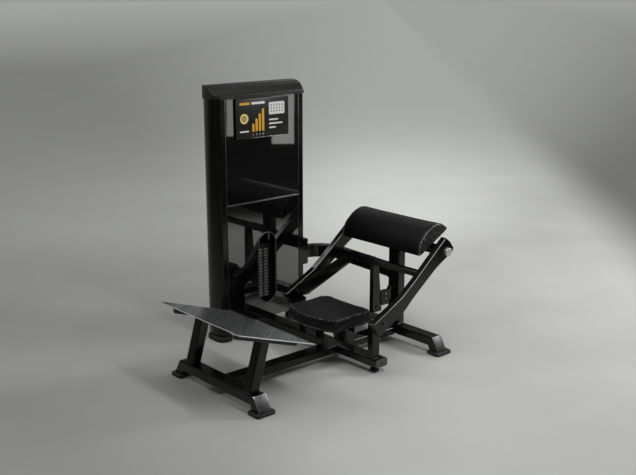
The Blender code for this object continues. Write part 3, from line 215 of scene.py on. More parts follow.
def tube(name, points, radius, cyclic=False, roundness=3, ripple=1.0):
    """A round thread along points, as a mesh, with every second point thinned to the ripple."""
    curve = bpy.data.curves.new(name, "CURVE")
    curve.dimensions = "3D"
    curve.bevel_depth = radius
    curve.bevel_resolution = roundness
    curve.use_fill_caps = not cyclic
    spline = curve.splines.new("POLY")
    spline.points.add(len(points) - 1)
    for i, (place, point) in enumerate(zip(spline.points, points)):
        place.co = (*point, 1)
        place.radius = 1.0 if i % 2 else ripple
    spline.use_cyclic_u = cyclic
    obj = bpy.data.objects.new(name, curve)
    bpy.context.scene.collection.objects.link(obj)
    take(obj)
    bpy.ops.object.convert(target="MESH")
    return smooth(bpy.context.object, THREAD_ANGLE)


def resampled(points, step, closed=False):
    """Points at even steps along a line of points."""
    line = list(points) + ([points[0]] if closed else [])
    lengths = [0.0]
    for first, second in zip(line, line[1:]):
        lengths.append(lengths[-1] + (second - first).length)
    count = max(2, round(lengths[-1] / step))
    found, k = [], 0
    for i in range(count + (0 if closed else 1)):
        reach = lengths[-1] * i / count
        while k < len(line) - 2 and lengths[k + 1] < reach:
            k += 1
        span = max(lengths[k + 1] - lengths[k], 1e-9)
        found.append(line[k].lerp(line[k + 1], (reach - lengths[k]) / span))
    return found


# Finishes


class Finish:
    """A material made node by node, in Object coordinates."""

    def __init__(self, name, colour, roughness, metallic=0.0, **sockets):
        self.material = bpy.data.materials.new(name)
        self.material.use_nodes = True
        self.tree = self.material.node_tree
        self.shader = self.tree.nodes["Principled BSDF"]
        self.shader.inputs["Base Color"].default_value = (*colour, 1)
        self.shader.inputs["Roughness"].default_value = roughness
        self.shader.inputs["Metallic"].default_value = metallic
        for socket, value in sockets.items():
            self.shader.inputs[socket.replace("_", " ")].default_value = value
        self.where = self.node("ShaderNodeTexCoord").outputs["Object"]

    def node(self, kind, inputs=None, **settings):
        made = self.tree.nodes.new(kind)
        for setting, value in settings.items():
            setattr(made, setting, value)
        for socket, value in (inputs or {}).items():
            if isinstance(value, bpy.types.NodeSocket):
                self.tree.links.new(value, made.inputs[socket])
            else:
                made.inputs[socket].default_value = value
        return made

    def stretched(self, scale):
        return self.node("ShaderNodeMapping", {"Vector": self.where, "Scale": scale}).outputs["Vector"]

    def slanted(self, degrees, size):
        """Coordinates turned about the upright, for marks of a size along and across the slant."""
        return self.node("ShaderNodeMapping", {
            "Vector": self.where, "Rotation": (0, 0, math.radians(degrees)), "Scale": size},
            vector_type="TEXTURE").outputs["Vector"]

    def centred(self, centre):
        return self.node("ShaderNodeMapping", {
            "Vector": self.where, "Location": tuple(-centre)}).outputs["Vector"]

    def along(self, place, direction):
        """How far a place lies along a direction."""
        return self.node("ShaderNodeVectorMath", {0: place, 1: direction},
                         operation="DOT_PRODUCT").outputs["Value"]

    def combine(self, operation, first, second):
        return self.node("ShaderNodeMath", {0: first, 1: second}, operation=operation).outputs[0]

    def product(self, first, second):
        return self.combine("MULTIPLY", first, second)

    def blend(self, share, first, second):
        return self.node("ShaderNodeMix", {0: share, 6: first, 7: second}, data_type="RGBA").outputs[2]

    def noise(self, scale, detail=3.0, roughness=0.5, vector=None):
        return self.node("ShaderNodeTexNoise", {
            "Vector": vector or self.where, "Scale": scale, "Detail": detail,
            "Roughness": roughness}).outputs["Fac"]

    def between(self, value, low, high, out_low, out_high, **settings):
        return self.node("ShaderNodeMapRange", {
            "Value": value, "From Min": low, "From Max": high, "To Min": out_low,
            "To Max": out_high}, **settings).outputs["Result"]

    def gently(self, value, low, high, out_low=0.0, out_high=1.0):
        """Like between, but it starts and ends softly."""
        return self.between(value, low, high, out_low, out_high, interpolation_type="SMOOTHSTEP")

    def colours(self, value, stops):
        ramp = self.node("ShaderNodeValToRGB", {"Fac": value})
        for i, (place, colour) in enumerate(stops):
            if i > 1:
                ramp.color_ramp.elements.new(place)
            ramp.color_ramp.elements[i].position = place
            ramp.color_ramp.elements[i].color = (*colour, 1)
        return ramp.outputs["Color"]

    def paint(self, colour):
        self.tree.links.new(colour, self.shader.inputs["Base Color"])
        return self

    def polish(self, value):
        self.tree.links.new(value, self.shader.inputs["Roughness"])
        return self

    def relief(self, height, strength, distance, under=None):
        """Fine bumps, over earlier bumps where those are given."""
        inputs = {"Height": height, "Strength": strength, "Distance": distance}
        if under:
            inputs["Normal"] = under
        normal = self.node("ShaderNodeBump", inputs).outputs["Normal"]
        for link in list(self.tree.links):
            if link.to_socket == self.shader.inputs["Normal"]:
                self.tree.links.remove(link)
        self.tree.links.new(normal, self.shader.inputs["Normal"])
        return normal


def grey(value, warm=0.0):
    return (value + warm, value + warm * 0.6, value - warm)


def powder_coat(name, dark, light, roughness):
    """Smooth black coat: faint cloudiness, the finest orange peel, a few dull rub marks."""
    finish = Finish(name, grey(dark), roughness, IOR=1.45)
    clouds = finish.noise(7.0, detail=4.0)
    finish.paint(finish.colours(clouds, ((0.30, grey(dark, 0.0003)), (0.72, grey(light, 0.0005)))))
    rubs = finish.noise(16.0, detail=5.0, roughness=0.6, vector=finish.stretched((1, 1, 0.35)))
    finish.polish(finish.between(rubs, 0.40, 0.80, roughness - 0.03, roughness + 0.09))
    peel = finish.noise(430.0, detail=2.0)
    finish.relief(peel, strength=0.035, distance=0.0004)
    return finish.material


def gloss_sheet():
    """Polished black sheet: deep, wavy by a hair, with dust."""
    finish = Finish("gloss black sheet", grey(0.003), 0.03, IOR=1.9, Coat_Weight=1.0,
                    Coat_Roughness=0.015, Coat_IOR=1.7)
    waves = finish.noise(2.2, detail=1.0)
    finish.relief(waves, strength=0.10, distance=0.010)
    dust = finish.noise(240.0, detail=4.0, roughness=0.7)
    finish.polish(finish.between(dust, 0.5, 0.85, 0.02, 0.16))
    return finish.material


def moulded_rubber():
    finish = Finish("moulded rubber", grey(0.010), 0.62, IOR=1.45)
    patches = finish.noise(40.0)
    finish.paint(finish.colours(patches, ((0.3, grey(0.007)), (0.8, grey(0.020, 0.001)))))
    finish.relief(finish.noise(900.0, detail=2.0), strength=0.25, distance=0.0005)
    return finish.material


def grained_cover(name, dark, light, grain, strength, roughness, depth=0.0009, fleck=0.0):
    """Synthetic leather: cell-like grain broken by fine pores, with pale flecks that are a painted glint
    of light on the grain.
    """
    finish = Finish(name, grey(dark), roughness, IOR=1.38, Specular_IOR_Level=0.28)
    tone = finish.noise(9.0)
    ground = finish.colours(tone, ((0.3, grey(dark)), (0.75, grey(light))))
    if fleck:
        # Pale flecks painted into the colour as glints of light
        spots = finish.between(finish.noise(105.0, detail=1.0), 0.54, 0.62, 0.0, 1.0)
        ground = finish.blend(spots, ground, (fleck, fleck, fleck * 0.97, 1))
    finish.paint(ground)
    cells = finish.node("ShaderNodeTexVoronoi", {"Vector": finish.where, "Scale": grain,
                                                 "Randomness": 1.0}, feature="DISTANCE_TO_EDGE")
    edge = finish.between(cells.outputs["Distance"], 0.0, 0.22, 0.0, 1.0)
    grained = finish.relief(edge, strength, depth)
    pores = finish.noise(grain * 3.2, detail=2.0)
    finish.relief(pores, strength=0.15, distance=0.0004, under=grained)
    finish.polish(finish.between(edge, 0.0, 1.0, roughness + 0.12, roughness - 0.06))
    return finish.material


STREAK_SLANT = -42
MIDDLE_GREY = (0.045, 0.046, 0.048, 1)


def rolled_tread():
    """Rolled aluminium: light and dark streaks that run slantwise over the plate, grey across its middle.
    """
    finish = Finish("rolled tread sheet", (0.5, 0.51, 0.52), 0.3, 1.0)
    streaks = finish.noise(1.0, roughness=0.55, vector=finish.slanted(STREAK_SLANT, (1.4, 0.085, 0.4)))
    metal = finish.colours(streaks, ((0.34, (0.17, 0.175, 0.18)), (0.50, (0.42, 0.43, 0.44)),
                                     (0.66, (0.80, 0.81, 0.82))))
    place = finish.along(finish.centred(middle("foot_plate")), (0.67, 0.74, 0))
    after = finish.between(place, -0.30, -0.14, 0.0, 1.0)
    before = finish.between(place, 0.10, 0.28, 1.0, 0.0)
    middle_band = finish.product(after, before)
    share = finish.product(middle_band, 0.72)
    finish.paint(finish.blend(share, metal, MIDDLE_GREY))
    scratches = finish.slanted(STREAK_SLANT, (0.030, 0.0016, 0.01))
    fine = finish.noise(1.0, roughness=0.6, vector=scratches)
    finish.relief(fine, strength=0.09, distance=0.0003)
    finish.polish(finish.between(streaks, 0.36, 0.66, 0.40, 0.26))
    return finish.material


def bright_metal(name, tone, roughness, brush=(1, 1, 1)):
    """Bare metal with fine lines, drawn out along the axis whose brush value is small."""
    finish = Finish(name, grey(tone), roughness, 1.0)
    lines = finish.noise(420.0, roughness=0.6, vector=finish.stretched(brush))
    finish.paint(finish.colours(lines, ((0.3, grey(tone * 0.82)), (0.75, grey(tone)))))
    finish.polish(finish.between(lines, 0.3, 0.7, roughness * 0.8, roughness * 1.3))
    finish.relief(lines, strength=0.05, distance=0.0003)
    return finish.material


def printed(name, colour, roughness=0.42):
    """Ink or film: even colour with a trace of mottling."""
    finish = Finish(name, colour, roughness, IOR=1.45)
    low = tuple(value * 0.88 for value in colour)
    finish.paint(finish.colours(finish.noise(90.0), ((0.3, low), (0.7, colour))))
    finish.relief(finish.noise(700.0, detail=2.0), strength=0.04, distance=0.0003)
    return finish.material


PAINT = powder_coat("smooth black powder coat", dark=0.0020, light=0.0038, roughness=0.17)
HOOD_PAINT = powder_coat("satin charcoal hood", dark=0.0045, light=0.0075, roughness=0.46)
GLOSS = gloss_sheet()
RUBBER = moulded_rubber()
COVER = grained_cover("grained black cover", dark=0.0022, light=0.0042, grain=420.0, strength=0.55,
                      roughness=0.44)
END_COVER = grained_cover("coarse grained end cover", dark=0.0060, light=0.0140, grain=120.0,
                          strength=1.0, roughness=0.32, depth=0.005, fleck=0.12)
PIPING = grained_cover("piping cover", dark=0.060, light=0.120, grain=320.0, strength=0.5,
                       roughness=0.34, fleck=0.55)
SEAT_PIPING = grained_cover("seat piping cover", dark=0.006, light=0.012, grain=260.0, strength=0.6,
                            roughness=0.36, fleck=0.30)
THREAD = printed("sewing thread", (0.16, 0.16, 0.15), 0.7)
TREAD = rolled_tread()
ALONG_Y, ALONG_Z = (1, 0.05, 1), (1, 1, 0.05)
TRIM = bright_metal("satin trim strip", 0.20, 0.34, ALONG_Z)
EDGE_BEAD = bright_metal("dull edge bead", 0.08, 0.38, ALONG_Z)
END_PLATE = bright_metal("brushed end plate", 0.13, 0.42, ALONG_Y)
# Pale ink for the lines along the arms' edges, a painted highlight
PAINTED_HIGHLIGHT = printed("painted highlight ink", (0.46, 0.465, 0.46), 0.28)
CAP_FACE = bright_metal("turned cap face", 0.90, 0.46)
# Near-white ink for the lines on the tread's edges, a painted highlight
PAINTED_EDGE_GLINT = printed("painted edge glint", (0.85, 0.86, 0.86), 0.30)
# Bright metal for the end plates' narrow rims, and for the painted glint along the placard's edge
BRIGHT_EDGE_AND_GLINT = bright_metal("bright cut edge and painted glint", 0.72, 0.24, (0.05, 1, 1))
STEEL = bright_metal("polished steel", 0.62, 0.32)
ZINC = bright_metal("zinc plated bolt", 0.42, 0.30)
DARK_BOLT = bright_metal("blackened bolt", 0.060, 0.34)
BRONZE = bright_metal("plain bearing bronze", 0.40, 0.34)
IRON = powder_coat("black stack plate", dark=0.0040, light=0.0075, roughness=0.38)
CAP = printed("grey end cap", (0.075, 0.077, 0.075), 0.48)
LABEL = printed("pale plate label", (0.20, 0.21, 0.19), 0.5)
DIGIT = printed("label ink", (0.02, 0.02, 0.02), 0.5)
BOARD = printed("placard ground", (0.014, 0.014, 0.013), 0.32)
AMBER = printed("amber ink", (0.72, 0.38, 0.03))
PALE_AMBER = printed("pale amber ink", (0.85, 0.66, 0.26))
WHITE = printed("white ink", (0.78, 0.78, 0.76))

FINISHES = (
    (PAINT, ("front_foot_beam", "rear_foot_beam", "main_beam", "mid_beam_right", "mid_beam_left",
             "plate_rail_left", "plate_rail_right", "front_leg_left", "front_leg_right",
             "side_post_left", "side_post_right", "upright", "pivot_housing", "stop_bracket",
             "seat_board", "seat_bracket_right", "seat_bracket_left", "back_board",
             "tower_column_front", "tower_column_rear", "tower_base", "tie_tube", "tie_flange",
             "pulley_bracket", "arm_left", "arm_right", "drive_lever", "crossbar", "arm_brace")),
    (HOOD_PAINT, ("tower_cap",)),
    (GLOSS, ("upper_panel", "lower_panel", "rear_panel")),
    (RUBBER, ("front_pad_left", "front_pad_right", "rear_pad_left", "rear_pad_right",
              "mid_beam_foot", "stop_bumper", "tower_foot_front", "tower_foot_rear",
              "selector_pin", "top_pulley")),
    (TREAD, ("foot_plate",)),
    (TRIM, ("slot_trim",)),
    (CAP, ("mid_beam_cap",)),
    (STEEL, ("guide_rod_front", "guide_rod_rear", "pivot_shaft", "shaft_cap_left",
             "shaft_cap_right", "selector_stem", "lift_cable")),
    (BRONZE, ("pivot_bush_left", "pivot_bush_right")),
    (IRON, ("lower_plates", "lifted_plates", "head_plate")),
)
for look, names in FINISHES:
    for name in names:
        nodes[name].data.materials.clear()
        nodes[name].data.materials.append(look)


# Padding

COVER_PRESSURE, SETTLING_FRAMES = 4.0, 20
STITCH_PITCH, STITCH_LENGTH, STITCH_RADIUS = 0.0058, 0.0040, 0.00055
PIPING_STEP, END_PIPING_STEP = 0.008, 0.006
PIPING_RADIUS, LOWER_PIPING_RADIUS, END_PIPING_RADIUS = 0.0027, 0.0022, 0.0030


def loose_copy(node, name):
    """The CAD node's shape as a new object of its own, its triangles merged."""
    made = bpy.data.objects.new(name, nodes[node].data.copy())
    bpy.context.scene.collection.objects.link(made)
    made.data.materials.clear()
    return outward(made)


def shrink(obj, depth):
    take(obj)
    bpy.ops.object.mode_set(mode="EDIT")
    bpy.ops.mesh.select_all(action="SELECT")
    bpy.ops.transform.shrink_fatten(value=-depth)
    bpy.ops.object.mode_set(mode="OBJECT")


def stuffed(obj, held, cap, voxel=0.005):
    """Swells a closed shell as stuffing does: held points stay, and none moves past the cap."""
    take(obj)
    remesh = obj.modifiers.new("even skin", "REMESH")
    remesh.mode = "VOXEL"
    remesh.voxel_size = voxel
    apply_modifiers(obj)
    rest = [vertex.co.copy() for vertex in obj.data.vertices]
    hold = obj.vertex_groups.new(name="held")
    hold.add([i for i, place in enumerate(rest) if held(place)], 1.0, "REPLACE")
    cloth = obj.modifiers.new("cover", "CLOTH")
    settings = cloth.settings
    settings.quality = 5
    settings.mass = 0.3
    settings.tension_stiffness = 18
    settings.compression_stiffness = 18
    settings.shear_stiffness = 8
    settings.bending_stiffness = 0.6
    settings.use_pressure = True
    settings.uniform_pressure_force = COVER_PRESSURE
    settings.effector_weights.gravity = 0
    settings.vertex_group_mass = "held"
    scene = bpy.context.scene
    for step in range(1, SETTLING_FRAMES + 1):
        scene.frame_set(step)
    graph = bpy.context.evaluated_depsgraph_get()
    puffed = [vertex.co.copy() for vertex in obj.evaluated_get(graph).data.vertices]
    obj.modifiers.remove(cloth)
    obj.vertex_groups.remove(hold)
    scene.frame_set(1)
    for vertex, start, end in zip(obj.data.vertices, rest, puffed):
        move = end - start
        if move.length > cap:
            move.length = cap
        vertex.co = start + move
    relax = obj.modifiers.new("even out", "SMOOTH")
    relax.factor = 0.4
    relax.iterations = 2
    skin = obj.modifiers.new("fine skin", "SUBSURF")
    skin.levels = skin.render_levels = 1
    apply_modifiers(obj)
    take(obj)
    bpy.ops.object.shade_smooth()
    return obj


def surface_of(obj):
    bpy.context.view_layer.update()
    return BVHTree.FromObject(obj, bpy.context.evaluated_depsgraph_get())


def skin_ring(tree, centre, across, up, first, last, count):
    """Where rays from the centre leave the skin, turning from across to up, in degrees."""
    ring = []
    for i in range(count):
        angle = math.radians(first + (last - first) * i / count)
        heading = across * math.cos(angle) + up * math.sin(angle)
        hit = tree.ray_cast(centre, heading)
        if hit[0] is not None:
            ring.append(hit[0])
    return ring


def laid_on(tree, points, lift):
    """Points moved to the nearest place of a surface, lift above it."""
    laid = []
    for point in points:
        place, normal, _, _ = tree.find_nearest(point)
        laid.append(place + normal * lift)
    return laid


def stitches(tree, lines):
    """Rows of thread dashes along lines on a surface."""
    deselect()
    bpy.ops.mesh.primitive_uv_sphere_add(segments=6, ring_count=4, radius=1)
    master = bpy.context.object
    master.scale = (STITCH_RADIUS, STITCH_RADIUS, STITCH_LENGTH / 2)
    apply_place(master)
    made = []
    for line in lines:
        laid = laid_on(tree, resampled(line, STITCH_PITCH), STITCH_RADIUS * 0.35)
        for first, second in zip(laid, laid[1:]):
            if (second - first).length < STITCH_PITCH * 0.3:
                continue
            turn = (second - first).to_track_quat("Z", "Y").to_matrix().to_4x4()
            made.append(copy_at(master, Matrix.Translation((first + second) / 2) @ turn))
    bpy.data.objects.remove(master)
    return smooth(join(made), THREAD_ANGLE)


def towards(points, centre, distance):
    """The points moved some way towards a centre."""
    return [point + (centre - point).normalized() * distance for point in points]


seat_low, seat_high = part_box("seat_cushion")
seat_middle = (seat_low + seat_high) / 2
SEAT_INSET, SEAT_SWELL = 0.002, 0.007
SEAT_HELD_Z = seat_low.z + 0.008
SEAT_FOOT_Z = seat_low.z + 0.009
SEAT_EDGE_Z = seat_high.z - 0.0145
TOP_STITCH_INSET = 0.013
SEAM_LOW_Z, SEAM_HIGH_Z = seat_low.z + 0.011, SEAT_EDGE_Z - 0.002
SEAM_RADIUS, SEAM_TO_STITCHES = 0.0011, 0.005
SEAT_CORNERS = ((0.236, -0.131), (-0.236, -0.131), (0.222, 0.186), (-0.222, 0.186))

seat = loose_copy("seat_cushion", "seat_pad")
shrink(seat, SEAT_INSET)
stuffed(seat, lambda place: place.z < SEAT_HELD_Z, cap=SEAT_SWELL)
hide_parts("seat_cushion")
dress(seat, "seat_pad", COVER, FRAME_BODY)
seat_skin = surface_of(seat)


def seat_heart(height):
    return Vector((seat_middle.x, seat_middle.y, height))


def seat_ring(height):
    """The seat's outline at a height, in even steps."""
    ring = skin_ring(seat_skin, seat_heart(height), ACROSS, BACKWARD, 0, 360, 200)
    return resampled(ring, PIPING_STEP, closed=True)


def seat_corner_line(heading):
    """The seat's skin from its foot to its upper edge, in one direction from its heart."""
    line = []
    for k in range(13):
        height = SEAM_LOW_Z + (SEAM_HIGH_Z - SEAM_LOW_Z) * k / 12
        hit = seat_skin.ray_cast(seat_heart(height), heading)
        if hit[0] is not None:
            line.append(hit[0])
    return line


seat_rim = seat_ring(SEAT_EDGE_Z)
for name, line, radius in (("seat_piping", seat_rim, PIPING_RADIUS),
                           ("seat_lower_piping", seat_ring(SEAT_FOOT_Z), LOWER_PIPING_RADIUS)):
    dress(tube(name, line, radius, cyclic=True), name, SEAT_PIPING, FRAME_BODY)
rows = [towards(seat_rim + seat_rim[:1], seat_heart(SEAT_EDGE_Z + 0.03), TOP_STITCH_INSET)]
corner_seams = []
for corner_x, corner_y in SEAT_CORNERS:
    heading = (spot(corner_x, corner_y, 0) - seat_heart(0)).normalized()
    corner_line = seat_corner_line(heading)
    corner_seams.append(tube("corner_seam", corner_line, SEAM_RADIUS))
    sideways = Vector((-heading.y, heading.x, 0)) * SEAM_TO_STITCHES
    rows.append([point + sideways for point in corner_line])
    rows.append([point - sideways for point in corner_line])
dress(join(corner_seams), "seat_corner_seams", COVER, FRAME_BODY)
dress(stitches(seat_skin, rows), "seat_stitches", THREAD, FRAME_BODY)

# The back pad's flat side, as a line from front to rear counted from the pivot
chord_start = Vector((PIVOT.y - 0.167, PIVOT.z - 0.023))
chord_end = Vector((PIVOT.y + 0.096, PIVOT.z + 0.123))
chord = (chord_end - chord_start).normalized()
chord_out = Vector((-chord.y, chord.x))
PAD_INSET, PAD_SWELL, PAD_HELD = 0.0015, 0.005, 0.007
PAD_VOXEL = 0.0055
PAD_STITCH_INSET = 0.010


def over_chord(place):
    return (Vector((place.y, place.z)) - chord_start).dot(chord_out)


back = loose_copy("back_pad", "back_bolster")
shrink(back, PAD_INSET)
stuffed(back, lambda place: over_chord(place) < PAD_HELD, cap=PAD_SWELL, voxel=PAD_VOXEL)
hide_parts("back_pad")
dress(back, "back_bolster", COVER, FRAME_BODY)
back.data.materials.append(END_COVER)
pad_low, pad_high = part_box("back_pad")
pad_middle = (pad_low + pad_high) / 2
PAD_END = (pad_high.x - pad_low.x) / 2 - 0.0065
for face in back.data.polygons:
    if abs(face.center.x - pad_middle.x) > PAD_END:
        face.material_index = 1
back_skin = surface_of(back)
ALONG_CHORD = Vector((0, chord.x, chord.y))
OUT_OF_CHORD = Vector((0, chord_out.x, chord_out.y))
heart = (chord_start + chord_end) / 2 + chord_out * 0.012
pipings, rows = [], []
for _, sign in reversed(SIDES):
    centre = Vector((pad_middle.x + sign * PAD_END, heart.x, heart.y))
    arc = skin_ring(back_skin, centre, ALONG_CHORD, OUT_OF_CHORD, -3, 184, 90)
    pipings.append(tube("arc", resampled(arc, END_PIPING_STEP), END_PIPING_RADIUS))
    centre.x -= sign * PAD_STITCH_INSET
    rows.append(skin_ring(back_skin, centre, ALONG_CHORD, OUT_OF_CHORD, -2, 183, 90))
dress(join(pipings), "bolster_piping", PIPING, FRAME_BODY)
dress(stitches(back_skin, rows), "bolster_stitches", THREAD, FRAME_BODY)


# Tread

LUG_LENGTH, LUG_WIDTH, LUG_HEIGHT = 0.021, 0.0050, 0.0016
LUG_PITCH = 0.030
LUG_SINK = 0.0002
TREAD_MARGIN = 0.02
SHEET_DROP = 0.0048
sheet_low, sheet_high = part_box("foot_plate")
SHEET_RISE = sheet_high.z - sheet_low.z - SHEET_DROP


def tread_lug():
    """One raised lug, its top drawn in and its two ends drawn to a point."""
    deselect()
    bpy.ops.mesh.primitive_cube_add(size=1, scale=(LUG_LENGTH, LUG_WIDTH, LUG_HEIGHT))
    lug = apply_place(bpy.context.object)
    edit_faces(lug, looks_up, bpy.ops.transform.resize, value=(0.72, 0.36, 1))
    edit_faces(lug, lambda face: abs(face.center.x) > 0.008, bpy.ops.transform.resize, value=(1, 0.30, 1))
    return lug


def tread_lugs():
    """Rows of lugs in two directions on the foot plate, one pair modelled and repeated."""
    lug = tread_lug()
    first = copy_at(lug, Matrix.Rotation(math.radians(45), 4, "Z"))
    second = copy_at(lug, Matrix.Translation((LUG_PITCH / 2, LUG_PITCH / 2, 0)) @ Matrix.Rotation(
        math.radians(-45), 4, "Z"))
    bpy.data.objects.remove(lug)
    pair = join([first, second])
    width, depth = sheet_high.x - sheet_low.x, sheet_high.y - sheet_low.y
    counts = [int((length - TREAD_MARGIN) / LUG_PITCH) for length in (
        width, math.hypot(depth, SHEET_RISE))]
    for axis, count in enumerate(counts):
        row = pair.modifiers.new("row", "ARRAY")
        row.count = count
        row.use_relative_offset = False
        row.use_constant_offset = True
        row.constant_offset_displace = [LUG_PITCH if i == axis else 0 for i in range(3)]
    apply_modifiers(pair)
    reach = [(count - 0.5) * LUG_PITCH / 2 for count in counts]
    pair.data.transform(Matrix.Translation((-reach[0], -reach[1], LUG_SINK)))
    top = Vector((*((sheet_low + sheet_high) / 2).xy, sheet_high.z - SHEET_RISE / 2))
    slope = math.atan2(SHEET_RISE, depth)
    pair.data.transform(Matrix.Translation(top) @ Matrix.Rotation(-slope, 4, "X"))
    return smooth(pair, 20)


dress(tread_lugs(), "tread_lugs", TREAD, FRAME_BODY)

# Lines of near-white ink on the sheet's cut front edge and the one at the sitter's right: a painted
# highlight where they catch the light
FRONT_Y, REAR_Y = sheet_low.y + 0.0005, sheet_high.y - 0.0005
FRONT_Z, REAR_Z = sheet_high.z - 0.0013, sheet_low.z + 0.0039
RIGHT_X = sheet_high.x - 0.0008
edges = [
    rod(0.0014, (sheet_low.x + 0.001, FRONT_Y, FRONT_Z), (sheet_high.x - 0.001, FRONT_Y, FRONT_Z), 10),
    rod(0.0024, (RIGHT_X, FRONT_Y, FRONT_Z), (RIGHT_X, REAR_Y, REAR_Z), 10),
]
dress(join([smooth(edge, THREAD_ANGLE) for edge in edges]), "tread_edge_lines", PAINTED_EDGE_GLINT, FRAME_BODY)


# Weight stack labels

PLATE_PITCH, PLATE_GROOVE = 0.022, 0.001
HOLE_Y = SEAT_LINE + 0.062
LABEL_SPANS = ((-0.040, -0.0085), (0.0085, 0.040))
LABEL_HALF_HEIGHT, LABEL_PROUD = 0.0062, 0.0005
LABEL_SINK = 0.0001
NUMBER_Y, NUMBER_HEIGHT = HOLE_Y + 0.026, 0.0095
DIGIT_DEPTH = 0.0003
RING_BORE, RING_RADIUS, RING_DEPTH = 0.0046, 0.0068, 0.0005
LOAD_STEP = 5


def washer(bore, radius, thickness):
    """A flat ring round the X axis, its back at x = 0."""
    deselect()
    bpy.ops.mesh.primitive_circle_add(vertices=20, radius=bore, fill_type="NOTHING")
    ring = bpy.context.object
    bpy.ops.object.mode_set(mode="EDIT")
    bpy.ops.mesh.select_mode(type="VERT")
    bpy.ops.mesh.select_all(action="SELECT")
    bpy.ops.mesh.extrude_region_move()
    bpy.ops.transform.resize(value=(radius / bore, radius / bore, 1))
    bpy.ops.mesh.select_all(action="SELECT")
    bpy.ops.mesh.extrude_region_move(TRANSFORM_OT_translate={"value": (0, 0, thickness)})
    bpy.ops.object.mode_set(mode="OBJECT")
    ring.data.transform(Matrix.Rotation(math.radians(90), 4, "Y"))
    return outward(ring)


def number(text, size, place):
    """Digits on a face that looks to +X."""
    font = bpy.data.curves.new("digits", "FONT")
    font.body = text
    font.size = size
    font.extrude = DIGIT_DEPTH / 2
    font.align_x = font.align_y = "CENTER"
    font.resolution_u = 2
    obj = bpy.data.objects.new("digits", font)
    bpy.context.scene.collection.objects.link(obj)
    take(obj)
    bpy.ops.object.convert(target="MESH")
    obj = bpy.context.object
    turn = Matrix(((0, 0, 1, 0), (1, 0, 0, 0), (0, 1, 0, 0), (0, 0, 0, 1)))
    obj.data.transform(Matrix.Translation(place) @ turn)
    return obj


def stack_labels(name, node, body, first_load):
    """A pale label, a dark ring round the pin hole and a number on each plate of a node."""
    low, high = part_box(node)
    count = round((high.z - low.z + PLATE_GROOVE) / PLATE_PITCH)
    ring = washer(RING_BORE, RING_RADIUS, RING_DEPTH)
    labels, rings, digits = [], [], []
    for i in range(count):
        z = low.z + (PLATE_PITCH - PLATE_GROOVE) / 2 + i * PLATE_PITCH
        for left, right in LABEL_SPANS:
            label = block((high.x - LABEL_SINK, HOLE_Y + left, z - LABEL_HALF_HEIGHT),
                          (high.x + LABEL_PROUD, HOLE_Y + right, z + LABEL_HALF_HEIGHT))
            labels.append(ease_edges(label, 0.0002, 1))
        rings.append(copy_at(ring, Matrix.Translation((high.x, HOLE_Y, z))))
        load = first_load + (count - 1 - i) * LOAD_STEP
        place = Vector((high.x + LABEL_PROUD + 0.0001, NUMBER_Y, z))
        digits.append(number(str(load), NUMBER_HEIGHT, place))
    bpy.data.objects.remove(ring)
    dress(join(labels), f"{name}_labels", LABEL, body)
    dress(join(rings), f"{name}_hole_rings", DARK_BOLT, body)
    dress(join(digits), f"{name}_numbers", DIGIT, body)


stack_labels("lifted", "lifted_plates", STACK_BODY, 10)
stack_labels("lower", "lower_plates", FRAME_BODY, 30)


# Tower trim and placard

panel_low, panel_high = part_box("lower_panel")
upper_low, upper_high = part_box("upper_panel")
hood_low, hood_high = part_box("tower_cap")
FACE_X = panel_high.x
TRIM_SINK = 0.0005
SEAM_Z = (panel_high.z + upper_low.z) / 2
SEAM_HALF_HEIGHT, SEAM_PROUD = 0.0055, 0.0030
BEAD_INSET, BEAD_WIDTH, BEAD_PROUD = 0.001, 0.006, 0.0020
HOOD_CORNER = 0.041

seam = block((FACE_X - TRIM_SINK, panel_low.y + 0.001, SEAM_Z - SEAM_HALF_HEIGHT),
             (FACE_X + SEAM_PROUD, panel_high.y - 0.001, SEAM_Z + SEAM_HALF_HEIGHT))
dress(ease_edges(seam, 0.0012), "panel_seam_strip", TRIM, FRAME_BODY)

front_bead_y = panel_low.y + BEAD_INSET
rear_bead_y = panel_high.y - BEAD_INSET - BEAD_WIDTH
for side, near_y in (("front", front_bead_y), ("rear", rear_bead_y)):
    bead = block((FACE_X - TRIM_SINK, near_y, panel_low.z + 0.002),
                 (FACE_X + BEAD_PROUD, near_y + BEAD_WIDTH, upper_high.z - 0.001))
    dress(ease_edges(bead, 0.0009), f"panel_edge_bead_{side}", EDGE_BEAD, FRAME_BODY)

lip_line = [Vector((hood_high.x + 0.0002, y, hood_low.z + 0.0025)) for y in (
    hood_low.y + HOOD_CORNER, hood_high.y - HOOD_CORNER)]
dress(rod(0.0021, *lip_line, sides=12), "hood_lip_bead", EDGE_BEAD, FRAME_BODY)


def rounded_plate(low, high, corner, edge=0.0):
    """A thin upright plate that looks to +X, with round corners."""
    plate = block(low, high)
    take(plate)
    bpy.ops.object.mode_set(mode="EDIT")
    bpy.ops.mesh.select_mode(type="EDGE")
    bpy.ops.mesh.select_all(action="DESELECT")
    bpy.ops.object.mode_set(mode="OBJECT")
    for line in plate.data.edges:
        first, second = (plate.data.vertices[k].co for k in line.vertices)
        line.select = abs(first.y - second.y) < 1e-6 and abs(first.z - second.z) < 1e-6
    bpy.ops.object.mode_set(mode="EDIT")
    bpy.ops.mesh.bevel(offset=corner, segments=6, affect="EDGES")
    bpy.ops.object.mode_set(mode="OBJECT")
    if edge:
        edit_faces(plate, lambda face: face.normal.x > 0.9, bpy.ops.mesh.bevel, offset=edge, segments=2,
                   affect="EDGES")
    return smooth(plate)


